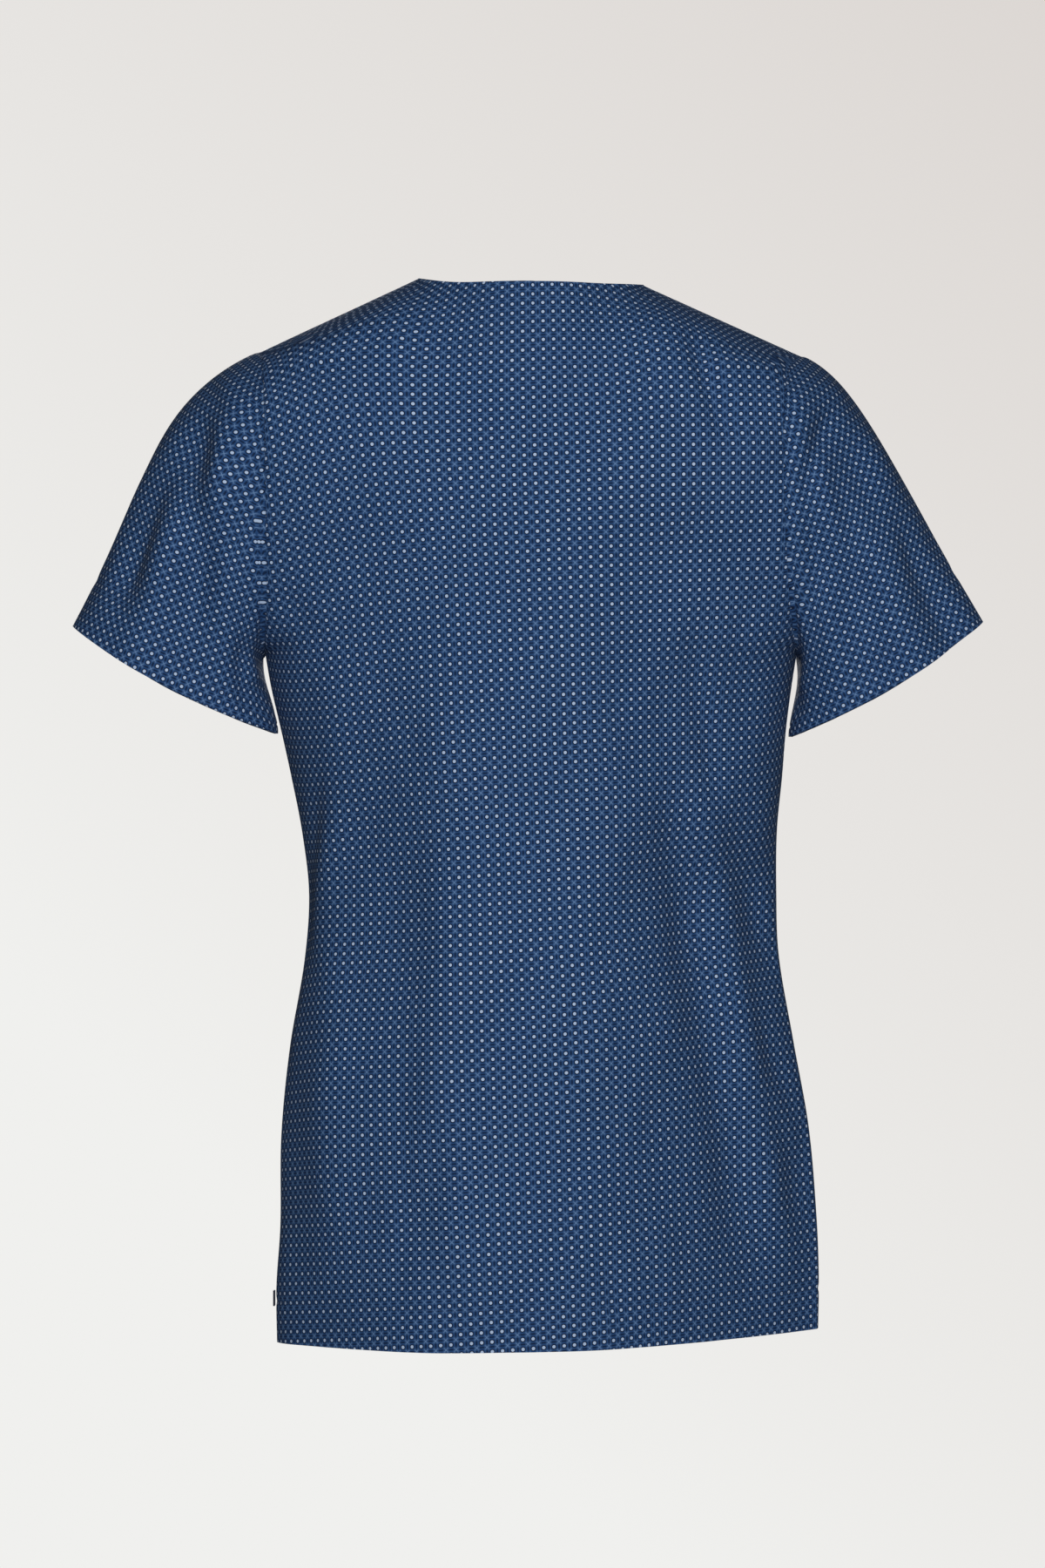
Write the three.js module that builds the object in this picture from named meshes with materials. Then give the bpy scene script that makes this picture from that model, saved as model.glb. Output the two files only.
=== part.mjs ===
// Short-sleeved tunic top of a set of medical scrubs, in the filled-out shape it has when worn.
// Millimetres, Z up. The garment faces -Y, its back faces +Y, the wearer's left is +X.
// The origin is midway between the two neck points of the shoulder seams.
import * as THREE from "three";

// Cloth and making sizes
const CLOTH = 1.5;
const SEAM_GAP = 0.3;
const TURNED_EXTRA = 1.1;
const BODY_HEM_DEPTH = 26;
const SLEEVE_HEM_DEPTH = 14;
const TURN_STEP = 1.5;

// Grid counts
const ARMHOLE_STEPS = 14;
const SIDE_STEPS = 11;
const SHOULDER_STEPS = 7;
const NECK_STEPS = 14;
const SLEEVE_STEPS = 11;
// Columns crowd towards the panel edges by this power, and towards the sides of the body below the
// chest, from none of the effect at the upper share of the height to the whole at the lower
const COLUMN_CROWDING = 1.4;
const FLANK_BUNCH = { amount: 0.75, lower: 0.3, upper: 0.9 };

// Shoulder and neck. The cloth turns over a line that runs on over the neck opening, and
// bows up by the rise behind it.
const NECK_POINT_SHARE = 0.42;
const NECK_POINT = { leftZ: 0.5, rightZ: -4, y: 10 };
const SHOULDER_TIP = { leftZ: -46, rightZ: -49, y: -2 };
const BACK_NECK = { z: -7.5, rise: 42 };
const V_NECK_Z = -165;
const V_NECK_CURVE = 0.92;

// Least cosine between a seam's shared normal and a piece's own, which limits its corner's length
const SEAM_LEAN = 0.55;

// Hem height at the middle and how much lower it hangs at the wearer's left edge
const HEM_Z = -690;
const HEM_TILT = 3.6;

// Height of the underarm point
const UNDERARM_Z = -245;
const UNDERARM_MIDDLE_SHARE = 0.67;

// Width over which a flat middle passes into its flanks
const FLAT_SOFTNESS = 20;

// How suddenly a panel turns down to its edge, as a power of the share of its half width
const EDGE_TURN = { back: 12, front: 8 };

// How fast the cloth turns over the shoulder, as fade lengths below the top edge
// The back turns tightly only from about the neck points outwards.
const BACK_TURN = { tight: 12, wide: 40, tightShare: 0.7, tightFrom: 0.2, tightTo: 0.54 };
const FRONT_TURN = { neck: 75, tip: 30 };

// Side seams, a row per height. The flank columns are the depth that the back's slope would reach at
// the seam, if it didn't turn down to it.
const SIDE_SEAMS = [
  { z: -693, leftX: 167, leftY: 4, leftFlank: 16, rightX: -187, rightY: -10, rightFlank: -12 },
  { z: -655, leftX: 167.5, leftY: 3, leftFlank: 15, rightX: -187.5, rightY: -11, rightFlank: -13 },
  { z: -615, leftX: 165, leftY: 1, leftFlank: 14, rightX: -186, rightY: -12, rightFlank: -14 },
  { z: -557, leftX: 164.5, leftY: -2, leftFlank: 13, rightX: -181, rightY: -14, rightFlank: -14 },
  { z: -500, leftX: 159, leftY: -6, leftFlank: 12, rightX: -171, rightY: -17, rightFlank: -11 },
  { z: -443, leftX: 149.5, leftY: -10, leftFlank: 8, rightX: -161.5, rightY: -20, rightFlank: -16 },
  { z: -400, leftX: 146.7, leftY: -12, leftFlank: 6, rightX: -160, rightY: -20, rightFlank: -14 },
  { z: -360, leftX: 151.3, leftY: -12, leftFlank: 7, rightX: -160.5, rightY: -18, rightFlank: 8 },
  { z: -324, leftX: 158.5, leftY: -11, leftFlank: 16, rightX: -164, rightY: -15, rightFlank: 15 },
  { z: -293, leftX: 165.5, leftY: -10, leftFlank: 26, rightX: -166.5, rightY: -12, rightFlank: 20 },
  { z: -265, leftX: 172, leftY: -9, leftFlank: 33, rightX: -170, rightY: -10, rightFlank: 27 },
  { z: -245, leftX: 175.5, leftY: -8, leftFlank: 38, rightX: -173, rightY: -8, rightFlank: 36 },
];

// Armholes from the underarm point to the shoulder tip, a row per place along the seam.
// The flank columns are the depth the panel keeps just inside the seam.
const ARMHOLES = [
  {
    share: 0, z: -245, leftBackX: 175.5, leftFrontX: 175.5, rightBackX: -173, rightFrontX: -173,
    backY: -8, backFlank: 38, frontY: -8, frontFlank: -8,
  },
  {
    share: 0.12, z: -235, leftBackX: 174.5, leftFrontX: 173, rightBackX: -170, rightFrontX: -169,
    backY: 24, backFlank: 46, frontY: -38, frontFlank: -38,
  },
  {
    share: 0.25, z: -208, leftBackX: 171.8, leftFrontX: 167, rightBackX: -165.5, rightFrontX: -162,
    backY: 49, backFlank: 54, frontY: -54, frontFlank: -54,
  },
  {
    share: 0.42, z: -161, leftBackX: 171.5, leftFrontX: 164, rightBackX: -162, rightFrontX: -156,
    backY: 66, backFlank: 68, frontY: -64, frontFlank: -65,
  },
  {
    share: 0.58, z: -116, leftBackX: 172, leftFrontX: 165, rightBackX: -160.5, rightFrontX: -157,
    backY: 71, backFlank: 75, frontY: -64, frontFlank: -68,
  },
  {
    share: 0.72, z: -79, leftBackX: 172.8, leftFrontX: 168.5, rightBackX: -161.5, rightFrontX: -162,
    backY: 65, backFlank: 78, frontY: -55, frontFlank: -68,
  },
  {
    share: 0.84, z: -58, leftBackX: 174.8, leftFrontX: 173.5, rightBackX: -166, rightFrontX: -168,
    backY: 43, backFlank: 79, frontY: -36, frontFlank: -68,
  },
  {
    share: 0.93, z: -49.5, leftBackX: 176.8, leftFrontX: 176.4, rightBackX: -171.5, rightFrontX: -173,
    backY: 18, backFlank: 79, frontY: -17, frontFlank: -68,
  },
  {
    share: 1, z: -46, leftBackX: 178, leftFrontX: 178, rightBackX: -175.6, rightFrontX: -175.6,
    backY: -2, backFlank: 79, frontY: -2, frontFlank: -68,
  },
];

// Cross-sections of the back: a flat middle between two flanks that fall away to the edges
const BACK_SECTIONS = [
  { z: -693, peakX: 17, flat: 44, depth: 101, bend: 1.3, round: 1 },
  { z: -551, peakX: 19, flat: 40, depth: 102, bend: 1.35, round: 1 },
  { z: -484, peakX: 12, flat: 50, depth: 98, bend: 1.2, round: 1 },
  { z: -418, peakX: 11, flat: 46, depth: 93, bend: 1.1, round: 1 },
  { z: -351, peakX: 8, flat: 52, depth: 92, bend: 1.05, round: 1 },
  { z: -285, peakX: 10, flat: 48, depth: 96, bend: 1, round: 1 },
  { z: -240, peakX: 7, flat: 34, depth: 98, bend: 1.15, round: 1 },
  { z: -205, peakX: 7, flat: 34, depth: 98, bend: 1.2, round: 1 },
  { z: -174, peakX: 7, flat: 34, depth: 98, bend: 1.3, round: 1 },
  { z: -140, peakX: 5, flat: 36, depth: 97, bend: 1.9, round: 1 },
  { z: -100, peakX: 5, flat: 40, depth: 96, bend: 2.3, round: 1 },
  { z: 0, peakX: 5, flat: 40, depth: 96, bend: 2, round: 1 },
];

// Cross-sections of the front, rounder and deepest at the chest
const FRONT_SECTIONS = [
  { z: -693, peakX: -8, flat: 10, depth: -130, bend: 1.9, round: 2 },
  { z: -557, peakX: -8, flat: 10, depth: -132, bend: 1.9, round: 2 },
  { z: -400, peakX: -5, flat: 10, depth: -126, bend: 1.8, round: 1.9 },
  { z: -300, peakX: 0, flat: 15, depth: -137, bend: 1.8, round: 2.2 },
  { z: -250, peakX: 0, flat: 20, depth: -138, bend: 1.7, round: 2.6 },
  { z: -226, peakX: 0, flat: 20, depth: -135, bend: 1.7, round: 2 },
  { z: -200, peakX: 0, flat: 25, depth: -130, bend: 1.7, round: 1.4 },
  { z: -165, peakX: 0, flat: 25, depth: -120, bend: 1.8, round: 1.1 },
  { z: 0, peakX: 0, flat: 25, depth: -104, bend: 1.9, round: 1 },
];

// Long soft folds of the panels. A row is one fold: where it starts and ends on the panel,
// how wide it is and how far it stands out (below zero it is a trough). Folds start FOLD_CLEAR
// below the top edge.
const FOLD_CLEAR = 40;
// Where along its length a fold begins, is full, fades and ends, and how far towards a seam it is full
const FOLD_REACH = { begins: -0.1, full: 0.35, fades: 0.8, ends: 1.1, clearOfSeam: 0.9 };
const PANEL_FOLDS = [
  { face: "back", topX: 80, topZ: -340, lowX: 86, lowZ: -660, width: 18, rise: -5 },
  { face: "back", topX: 124, topZ: -250, lowX: 132, lowZ: -650, width: 16, rise: 7 },
  { face: "back", topX: -81, topZ: -300, lowX: -140, lowZ: -640, width: 16, rise: -6 },
  { face: "back", topX: -100, topZ: -290, lowX: -164, lowZ: -650, width: 12, rise: 6 },
  { face: "back", topX: -104, topZ: -22, lowX: -124, lowZ: -110, width: 9, rise: -5 },
  { face: "front", topX: 88, topZ: -270, lowX: 98, lowZ: -660, width: 22, rise: -6 },
  { face: "front", topX: 48, topZ: -300, lowX: 44, lowZ: -640, width: 18, rise: 4 },
  { face: "front", topX: -84, topZ: -260, lowX: -104, lowZ: -650, width: 20, rise: -7 },
  { face: "front", topX: -40, topZ: -320, lowX: -52, lowZ: -670, width: 18, rise: 4 },
];

// Sleeves. The hem is a loop between the outer tip and the inner end beside the body.
const SLEEVES = {
  left: { tipX: 301, tipZ: -226, innerX: 167.8, innerZ: -296, middleY: -6, capReach: 76, hemRun: 112 },
  right: { tipX: -294.5, tipZ: -223, innerX: -168.6, innerZ: -298, middleY: -8, capReach: 40, hemRun: 124 },
};
const SLEEVE_HALF_DEPTH = 54;
const SLEEVE_HEM_SAG = 6;
const UNDERARM_REACH = 12;
const UNDERARM_HEM_RUN = 18;
const ARMHOLE_MIDDLE = { x: 175, z: -145 };
// How the cloth leaves the armhole seam: sideways, back, down, and further down on the arm's faces
const SLEEVE_LEAVE = { side: 0.85, back: -0.12, down: -0.36, faceDown: -0.3 };
// The underarm side ends nearly upright beside the body
const UNDERARM_HANG = { side: 0, down: -1 };

// Soft folds of the sleeves. Turn is the way round in degrees from the underarm seam over the back,
// top at 180, on over the front. From and to are shares of the length from armhole to hem.
const SLEEVE_FOLDS = [
  { side: "left", turn: 138, from: 0.12, to: 0.8, width: 15, rise: -8 },
  { side: "left", turn: 112, from: 0.05, to: 0.95, width: 13, rise: 4 },
  { side: "left", turn: 88, from: 0.02, to: 0.9, width: 12, rise: -5 },
  { side: "left", turn: 225, from: 0.15, to: 0.9, width: 18, rise: -6 },
  { side: "left", turn: 265, from: 0.1, to: 0.95, width: 16, rise: 4 },
  { side: "right", turn: 132, from: 0.08, to: 0.95, width: 14, rise: -7 },
  { side: "right", turn: 102, from: 0.2, to: 1, width: 12, rise: 4 },
  { side: "right", turn: 80, from: 0.05, to: 0.9, width: 12, rise: -5 },
  { side: "right", turn: 230, from: 0.1, to: 0.95, width: 17, rise: -6 },
  { side: "right", turn: 272, from: 0.15, to: 0.9, width: 16, rise: 4 },
];
// Share of the sleeve's length over which a fold swells, and fades
const SLEEVE_FOLD_SWELL = 0.3;
const SLEEVE_FOLD_FADE = 0.15;

// Folded tape in the left side seam
const TAB = { z: -665, tall: 10, deep: 7, thick: 1.2, clear: 0.1 };

function clamp(value, low, high) {
  return Math.min(high, Math.max(low, value));
}

function mix(a, b, share) {
  return a + (b - a) * share;
}

function ease(low, high, value) {
  const share = clamp((value - low) / (high - low), 0, 1);
  return share * share * (3 - 2 * share);
}

// How far a place lies beyond the flat middle, starting softly
function softBeyond(away, flat) {
  const soft = (distance) => (distance + Math.hypot(distance, FLAT_SOFTNESS)) / 2;
  return soft(away - flat) - soft(-flat);
}

// Smooth curve through one column of a table
function read(table, key, column, at) {
  const last = table.length - 1;
  const place = clamp(at, table[0][key], table[last][key]);
  let i = 0;
  while (i < last - 1 && table[i + 1][key] < place) i += 1;
  const slope = (k) => {
    const before = table[Math.max(0, k - 1)];
    const after = table[Math.min(last, k + 1)];
    return (after[column] - before[column]) / (after[key] - before[key]);
  };
  const here = table[i];
  const next = table[i + 1];
  const span = next[key] - here[key];
  const t = (place - here[key]) / span;
  const t2 = t * t;
  const t3 = t2 * t;
  return (2 * t3 - 3 * t2 + 1) * here[column]
    + (t3 - 2 * t2 + t) * span * slope(i)
    + (3 * t2 - 2 * t3) * next[column]
    + (t3 - t2) * span * slope(i + 1);
}

function hemHeight(u) {
  return HEM_Z - HEM_TILT * u;
}

function tipHeight(u) {
  return u >= 0 ? SHOULDER_TIP.leftZ : SHOULDER_TIP.rightZ;
}

function neckPointHeight(u) {
  return u >= 0 ? NECK_POINT.leftZ : NECK_POINT.rightZ;
}

// Height of a panel's top edge: shoulder seams outside the neck points, the neck opening between
function topHeight(face, u) {
  const out = Math.abs(u);
  if (out >= NECK_POINT_SHARE) {
    return mix(neckPointHeight(u), tipHeight(u), (out - NECK_POINT_SHARE) / (1 - NECK_POINT_SHARE));
  }
  const inward = out / NECK_POINT_SHARE;
  if (face === "back") return mix(BACK_NECK.z, neckPointHeight(u), inward ** 5);
  return mix(neckPointHeight(u), V_NECK_Z, (1 - inward) ** V_NECK_CURVE);
}

// The line the cloth turns over: the shoulder seams, running on smoothly above the neck opening
function turnLine(face, u) {
  const inside = clamp(1 - (u / NECK_POINT_SHARE) ** 2, 0, 1);
  const out = inside > 0 ? NECK_POINT_SHARE * (1 - inside / 2) : Math.abs(u);
  const along = (out - NECK_POINT_SHARE) / (1 - NECK_POINT_SHARE);
  return {
    y: mix(NECK_POINT.y, SHOULDER_TIP.y, along),
    z: mix(neckPointHeight(u), tipHeight(u), along) + (face === "back" ? BACK_NECK.rise * inside ** 2 : 0),
  };
}

// Share of the way from the top line to the full depth, at a drop below the top line
function turnShare(face, u, drop) {
  const out = Math.abs(u);
  if (face === "back") {
    const tight = BACK_TURN.tightShare * ease(BACK_TURN.tightFrom, BACK_TURN.tightTo, out);
    return 1 - tight * Math.exp(-drop / BACK_TURN.tight) - (1 - tight) * Math.exp(-drop / BACK_TURN.wide);
  }
  return 1 - Math.exp(-drop / mix(FRONT_TURN.neck, FRONT_TURN.tip, out * out));
}

// Point of a panel's edge, at a row of the grid
function edgePoint(face, u, row) {
  const left = u >= 0;
  if (row.arm === null) {
    const y = read(SIDE_SEAMS, "z", left ? "leftY" : "rightY", row.z);
    const x = read(SIDE_SEAMS, "z", left ? "leftX" : "rightX", row.z);
    const flank = face === "back" ? read(SIDE_SEAMS, "z", left ? "leftFlank" : "rightFlank", row.z) : y;
    return { x, y, flank, z: mix(hemHeight(Math.sign(u)), UNDERARM_Z, row.side) };
  }
  const column = (left ? "left" : "right") + (face === "back" ? "BackX" : "FrontX");
  const sink = left ? 0 : (SHOULDER_TIP.rightZ - SHOULDER_TIP.leftZ) * row.arm ** 3;
  return {
    x: read(ARMHOLES, "share", column, row.arm),
    y: read(ARMHOLES, "share", face === "back" ? "backY" : "frontY", row.arm),
    flank: read(ARMHOLES, "share", face === "back" ? "backFlank" : "frontFlank", row.arm),
    z: read(ARMHOLES, "share", "z", row.arm) + sink,
  };
}

// How far the long folds push the panel out at a place
function foldRise(face, x, z) {
  let rise = 0;
  for (const fold of PANEL_FOLDS) {
    if (fold.face !== face) continue;
    const along = (fold.topZ - z) / (fold.topZ - fold.lowZ);
    if (along <= FOLD_REACH.begins || along >= FOLD_REACH.ends) continue;
    const swell = ease(FOLD_REACH.begins, FOLD_REACH.full, along);
    const fade = swell * (1 - ease(FOLD_REACH.fades, FOLD_REACH.ends, along));
    const across = (x - mix(fold.topX, fold.lowX, along)) / fold.width;
    rise += fold.rise * fade * Math.exp(-across * across);
  }
  return rise;
}

// Point of a panel's middle surface. u is 1 at the wearer's left edge, 0 in the middle, -1 at the right.
function panelPoint(face, u, row) {
  const out = Math.abs(u);
  const edge = edgePoint(face, u >= 0 ? 1 : -1, row);
  const opposite = edgePoint(face, u >= 0 ? -1 : 1, row);
  const middleX = (edge.x + opposite.x) / 2;
  const bunch = FLANK_BUNCH.amount * (1 - ease(FLANK_BUNCH.lower, FLANK_BUNCH.upper, row.middle));
  const spread = mix(out, Math.sin(out * Math.PI / 2), bunch);
  const x = mix(middleX, edge.x, spread);
  const edgeHem = hemHeight(Math.sign(u));
  const edgeShare = (edge.z - edgeHem) / (tipHeight(u) - edgeHem);
  const share = mix(row.middle, edgeShare, out ** 3);
  const z = mix(hemHeight(u), topHeight(face, u), share);
  const table = face === "back" ? BACK_SECTIONS : FRONT_SECTIONS;
  const peakX = read(table, "z", "peakX", z);
  const flat = read(table, "z", "flat", z);
  const depth = read(table, "z", "depth", z);
  const bend = read(table, "z", "bend", z);
  const round = read(table, "z", "round", z);
  const reach = softBeyond(Math.abs(edge.x - peakX), flat);
  const s = out === 1 ? 1 : clamp(softBeyond(Math.abs(x - peakX), flat) / reach, 0, 1);
  const body = mix(edge.flank, depth, (1 - s ** bend) ** (1 / round));
  const line = turnLine(face, u);
  const turned = mix(line.y, body, turnShare(face, u, line.z - z));
  const edgeTurned = mix(SHOULDER_TIP.y, edge.flank, turnShare(face, 1, tipHeight(u) - edge.z));
  const y = turned + (edge.y - edgeTurned) * out ** EDGE_TURN[face];
  return new THREE.Vector3(x, y, z);
}

// Rows of the panel grids, from the hem to the top edge
function panelRows() {
  const rows = [];
  const length = UNDERARM_Z - HEM_Z;
  const hem = BODY_HEM_DEPTH / length;
  const step = TURN_STEP / length;
  const shares = [0, hem / 2, hem, hem + step];
  for (let i = 1; i < SIDE_STEPS; i += 1) shares.push(mix(hem + step, 1, i / (SIDE_STEPS - 0.5)));
  for (const side of shares) {
    rows.push({ side, arm: null, z: mix(HEM_Z, UNDERARM_Z, side), middle: side * UNDERARM_MIDDLE_SHARE });
  }
  for (let i = 0; i <= ARMHOLE_STEPS; i += 1) {
    const arm = i / ARMHOLE_STEPS;
    rows.push({ side: 1, arm, z: null, middle: mix(UNDERARM_MIDDLE_SHARE, 1, arm) });
  }
  return rows;
}

// Columns of the panel grids from the left edge to the right, with the neck points on a column
function panelColumns() {
  const columns = [];
  const inwards = (i) => (i / SHOULDER_STEPS) ** COLUMN_CROWDING;
  for (let i = 0; i < SHOULDER_STEPS; i += 1) columns.push(mix(1, NECK_POINT_SHARE, inwards(i)));
  for (let i = 0; i <= NECK_STEPS; i += 1) {
    columns.push(NECK_POINT_SHARE * Math.sin(mix(Math.PI / 2, -Math.PI / 2, i / NECK_STEPS)));
  }
  for (let i = SHOULDER_STEPS - 1; i >= 0; i -= 1) columns.push(mix(-1, -NECK_POINT_SHARE, inwards(i)));
  return columns;
}

// A grid is rows of points. Normals come from the neighbours along and across.
function gridNormals(grid, closed, outwardSign) {
  const rows = grid.length;
  const count = grid[0].length;
  const normals = [];
  for (let j = 0; j < rows; j += 1) {
    const line = [];
    for (let i = 0; i < count; i += 1) {
      const before = closed ? (i + count - 1) % count : Math.max(0, i - 1);
      const after = closed ? (i + 1) % count : Math.min(count - 1, i + 1);
      const along = grid[j][after].clone().sub(grid[j][before]);
      const up = grid[Math.min(rows - 1, j + 1)][i].clone().sub(grid[Math.max(0, j - 1)][i]);
      line.push(along.cross(up).multiplyScalar(outwardSign).normalize());
    }
    normals.push(line);
  }
  return normals;
}

// Joins pieces at a seam point: one shared normal, longer where the seam is a sharp fold.
// Where both panels meet a sleeve, the panels together weigh as much as the sleeve.
function shareNormal(members) {
  const sum = new THREE.Vector3();
  for (const m of members) sum.addScaledVector(m.normals[m.j][m.i], m.closed ? members.length - 1 : 1);
  sum.normalize();
  const leans = members.map((m) => sum.dot(m.normals[m.j][m.i]));
  const lean = clamp(leans.reduce((a, b) => a + b) / leans.length, SEAM_LEAN, 1);
  for (const m of members) {
    m.lengths[m.j][m.i] = 1 / lean;
    m.normals[m.j][m.i] = sum.clone();
  }
}

// Moves a piece's edge back from a seam by half the gap, across the seam and inside the piece
function pullBack(piece, j, i, tangent, inside) {
  const across = piece.normals[j][i].clone().cross(tangent).normalize();
  if (across.dot(inside) < 0) across.negate();
  piece.shifts.push({ j, i, by: across.multiplyScalar(SEAM_GAP / 2) });
}

function applyShifts(piece) {
  for (const shift of piece.shifts) piece.grid[shift.j][shift.i].add(shift.by);
}

// Pushes a panel out along its own surface where it is folded, but not at its seams
function foldPanel(face, grid, outwardSign) {
  const normals = gridNormals(grid, false, outwardSign);
  return grid.map((line, j) => line.map((point, i) => {
    const fromSide = 1 - ease(FOLD_REACH.clearOfSeam, 1, Math.abs(columns[i]));
    const fromTop = ease(0, FOLD_CLEAR, topHeight(face, columns[i]) - point.z);
    const rise = foldRise(face, point.x, point.z) * fromSide * fromTop;
    return point.clone().addScaledVector(normals[j][i], rise);
  }));
}

function makePiece(grid, closed, outwardSign, turned) {
  return {
    grid,
    closed,
    normals: gridNormals(grid, closed, outwardSign),
    lengths: grid.map((line) => line.map(() => 1)),
    turned,
    shifts: [],
  };
}

// Closed wall around a piece's middle surface: outer skin, inner skin and the edge strips
function wallGeometry(piece) {
  const rows = piece.grid.length;
  const count = piece.grid[0].length;
  const positions = [];
  for (const inner of [false, true]) {
    for (let j = 0; j < rows; j += 1) {
      for (let i = 0; i < count; i += 1) {
        const half = CLOTH / 2 + (inner ? piece.turned(j, i) : 0);
        const away = (inner ? -half : half) * piece.lengths[j][i];
        const p = piece.grid[j][i].clone().addScaledVector(piece.normals[j][i], away);
        positions.push(p.x, p.y, p.z);
      }
    }
  }
  const at = (inner, j, i) => (inner ? rows * count : 0) + j * count + (i % count);
  const faces = [];
  const quad = (a, b, c, d) => faces.push(a, b, c, a, c, d);
  // Edge strips split from the outer corner of their lower end, so both sides of a seam split alike
  const strip = (a, b, c, d) => {
    if (positions[3 * a + 2] < positions[3 * b + 2]) quad(a, b, c, d);
    else quad(b, c, d, a);
  };
  const spans = piece.closed ? count : count - 1;
  for (let j = 0; j < rows - 1; j += 1) {
    for (let i = 0; i < spans; i += 1) {
      quad(at(false, j, i), at(false, j, i + 1), at(false, j + 1, i + 1), at(false, j + 1, i));
      quad(at(true, j, i), at(true, j + 1, i), at(true, j + 1, i + 1), at(true, j, i + 1));
    }
    if (!piece.closed) {
      strip(at(false, j, 0), at(false, j + 1, 0), at(true, j + 1, 0), at(true, j, 0));
      strip(at(false, j + 1, spans), at(false, j, spans), at(true, j, spans), at(true, j + 1, spans));
    }
  }
  for (let i = 0; i < spans; i += 1) {
    strip(at(false, 0, i + 1), at(false, 0, i), at(true, 0, i), at(true, 0, i + 1));
    strip(at(false, rows - 1, i), at(false, rows - 1, i + 1), at(true, rows - 1, i + 1), at(true, rows - 1, i));
  }
  let volume = 0;
  const corner = (k) => new THREE.Vector3(positions[3 * k], positions[3 * k + 1], positions[3 * k + 2]);
  for (let f = 0; f < faces.length; f += 3) {
    volume += corner(faces[f]).dot(corner(faces[f + 1]).cross(corner(faces[f + 2])));
  }
  if (volume < 0) faces.reverse();
  const geometry = new THREE.BufferGeometry();
  geometry.setAttribute("position", new THREE.Float32BufferAttribute(positions, 3));
  geometry.setIndex(faces);
  geometry.computeVertexNormals();
  return geometry;
}

// Loop of armhole points seen from a sleeve: up the back from the underarm, down the front
function armholeLoop(side, pieces) {
  const first = pieces.back.grid.length - 1 - ARMHOLE_STEPS;
  const column = side === "left" ? 0 : pieces.back.grid[0].length - 1;
  const loop = [];
  for (let k = 0; k <= ARMHOLE_STEPS; k += 1) loop.push({ members: [["back", first + k, column]] });
  for (let k = ARMHOLE_STEPS - 1; k > 0; k -= 1) loop.push({ members: [["front", first + k, column]] });
  loop[0].members.push(["front", first, column]);
  loop[ARMHOLE_STEPS].members.push(["front", first + ARMHOLE_STEPS, column]);
  for (const place of loop) {
    const [name, j, i] = place.members[0];
    place.point = pieces[name].grid[j][i].clone();
  }
  return loop;
}

// Way round the sleeve of each point of its armhole loop, in radians from the underarm seam
function loopTurns(loop) {
  const turns = [];
  const halves = [[0, ARMHOLE_STEPS], [ARMHOLE_STEPS, 2 * ARMHOLE_STEPS]];
  halves.forEach(([from, to], half) => {
    const lengths = [0];
    for (let k = from; k < to; k += 1) {
      const here = loop[k].point;
      const next = loop[(k + 1) % loop.length].point;
      lengths.push(lengths[lengths.length - 1] + here.distanceTo(next));
    }
    const total = lengths[lengths.length - 1];
    for (let k = 0; k < to - from; k += 1) turns.push(Math.PI * (half + lengths[k] / total));
  });
  return turns;
}

function sleeveFoldRise(side, turn, share) {
  let rise = 0;
  for (const fold of SLEEVE_FOLDS) {
    if (fold.side !== side) continue;
    const window = ease(fold.from, fold.from + SLEEVE_FOLD_SWELL, share)
      * (1 - ease(fold.to, fold.to + SLEEVE_FOLD_FADE, share));
    const across = (turn * 180 / Math.PI - fold.turn) / fold.width;
    rise += fold.rise * window * Math.exp(-across * across);
  }
  return rise;
}

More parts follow.
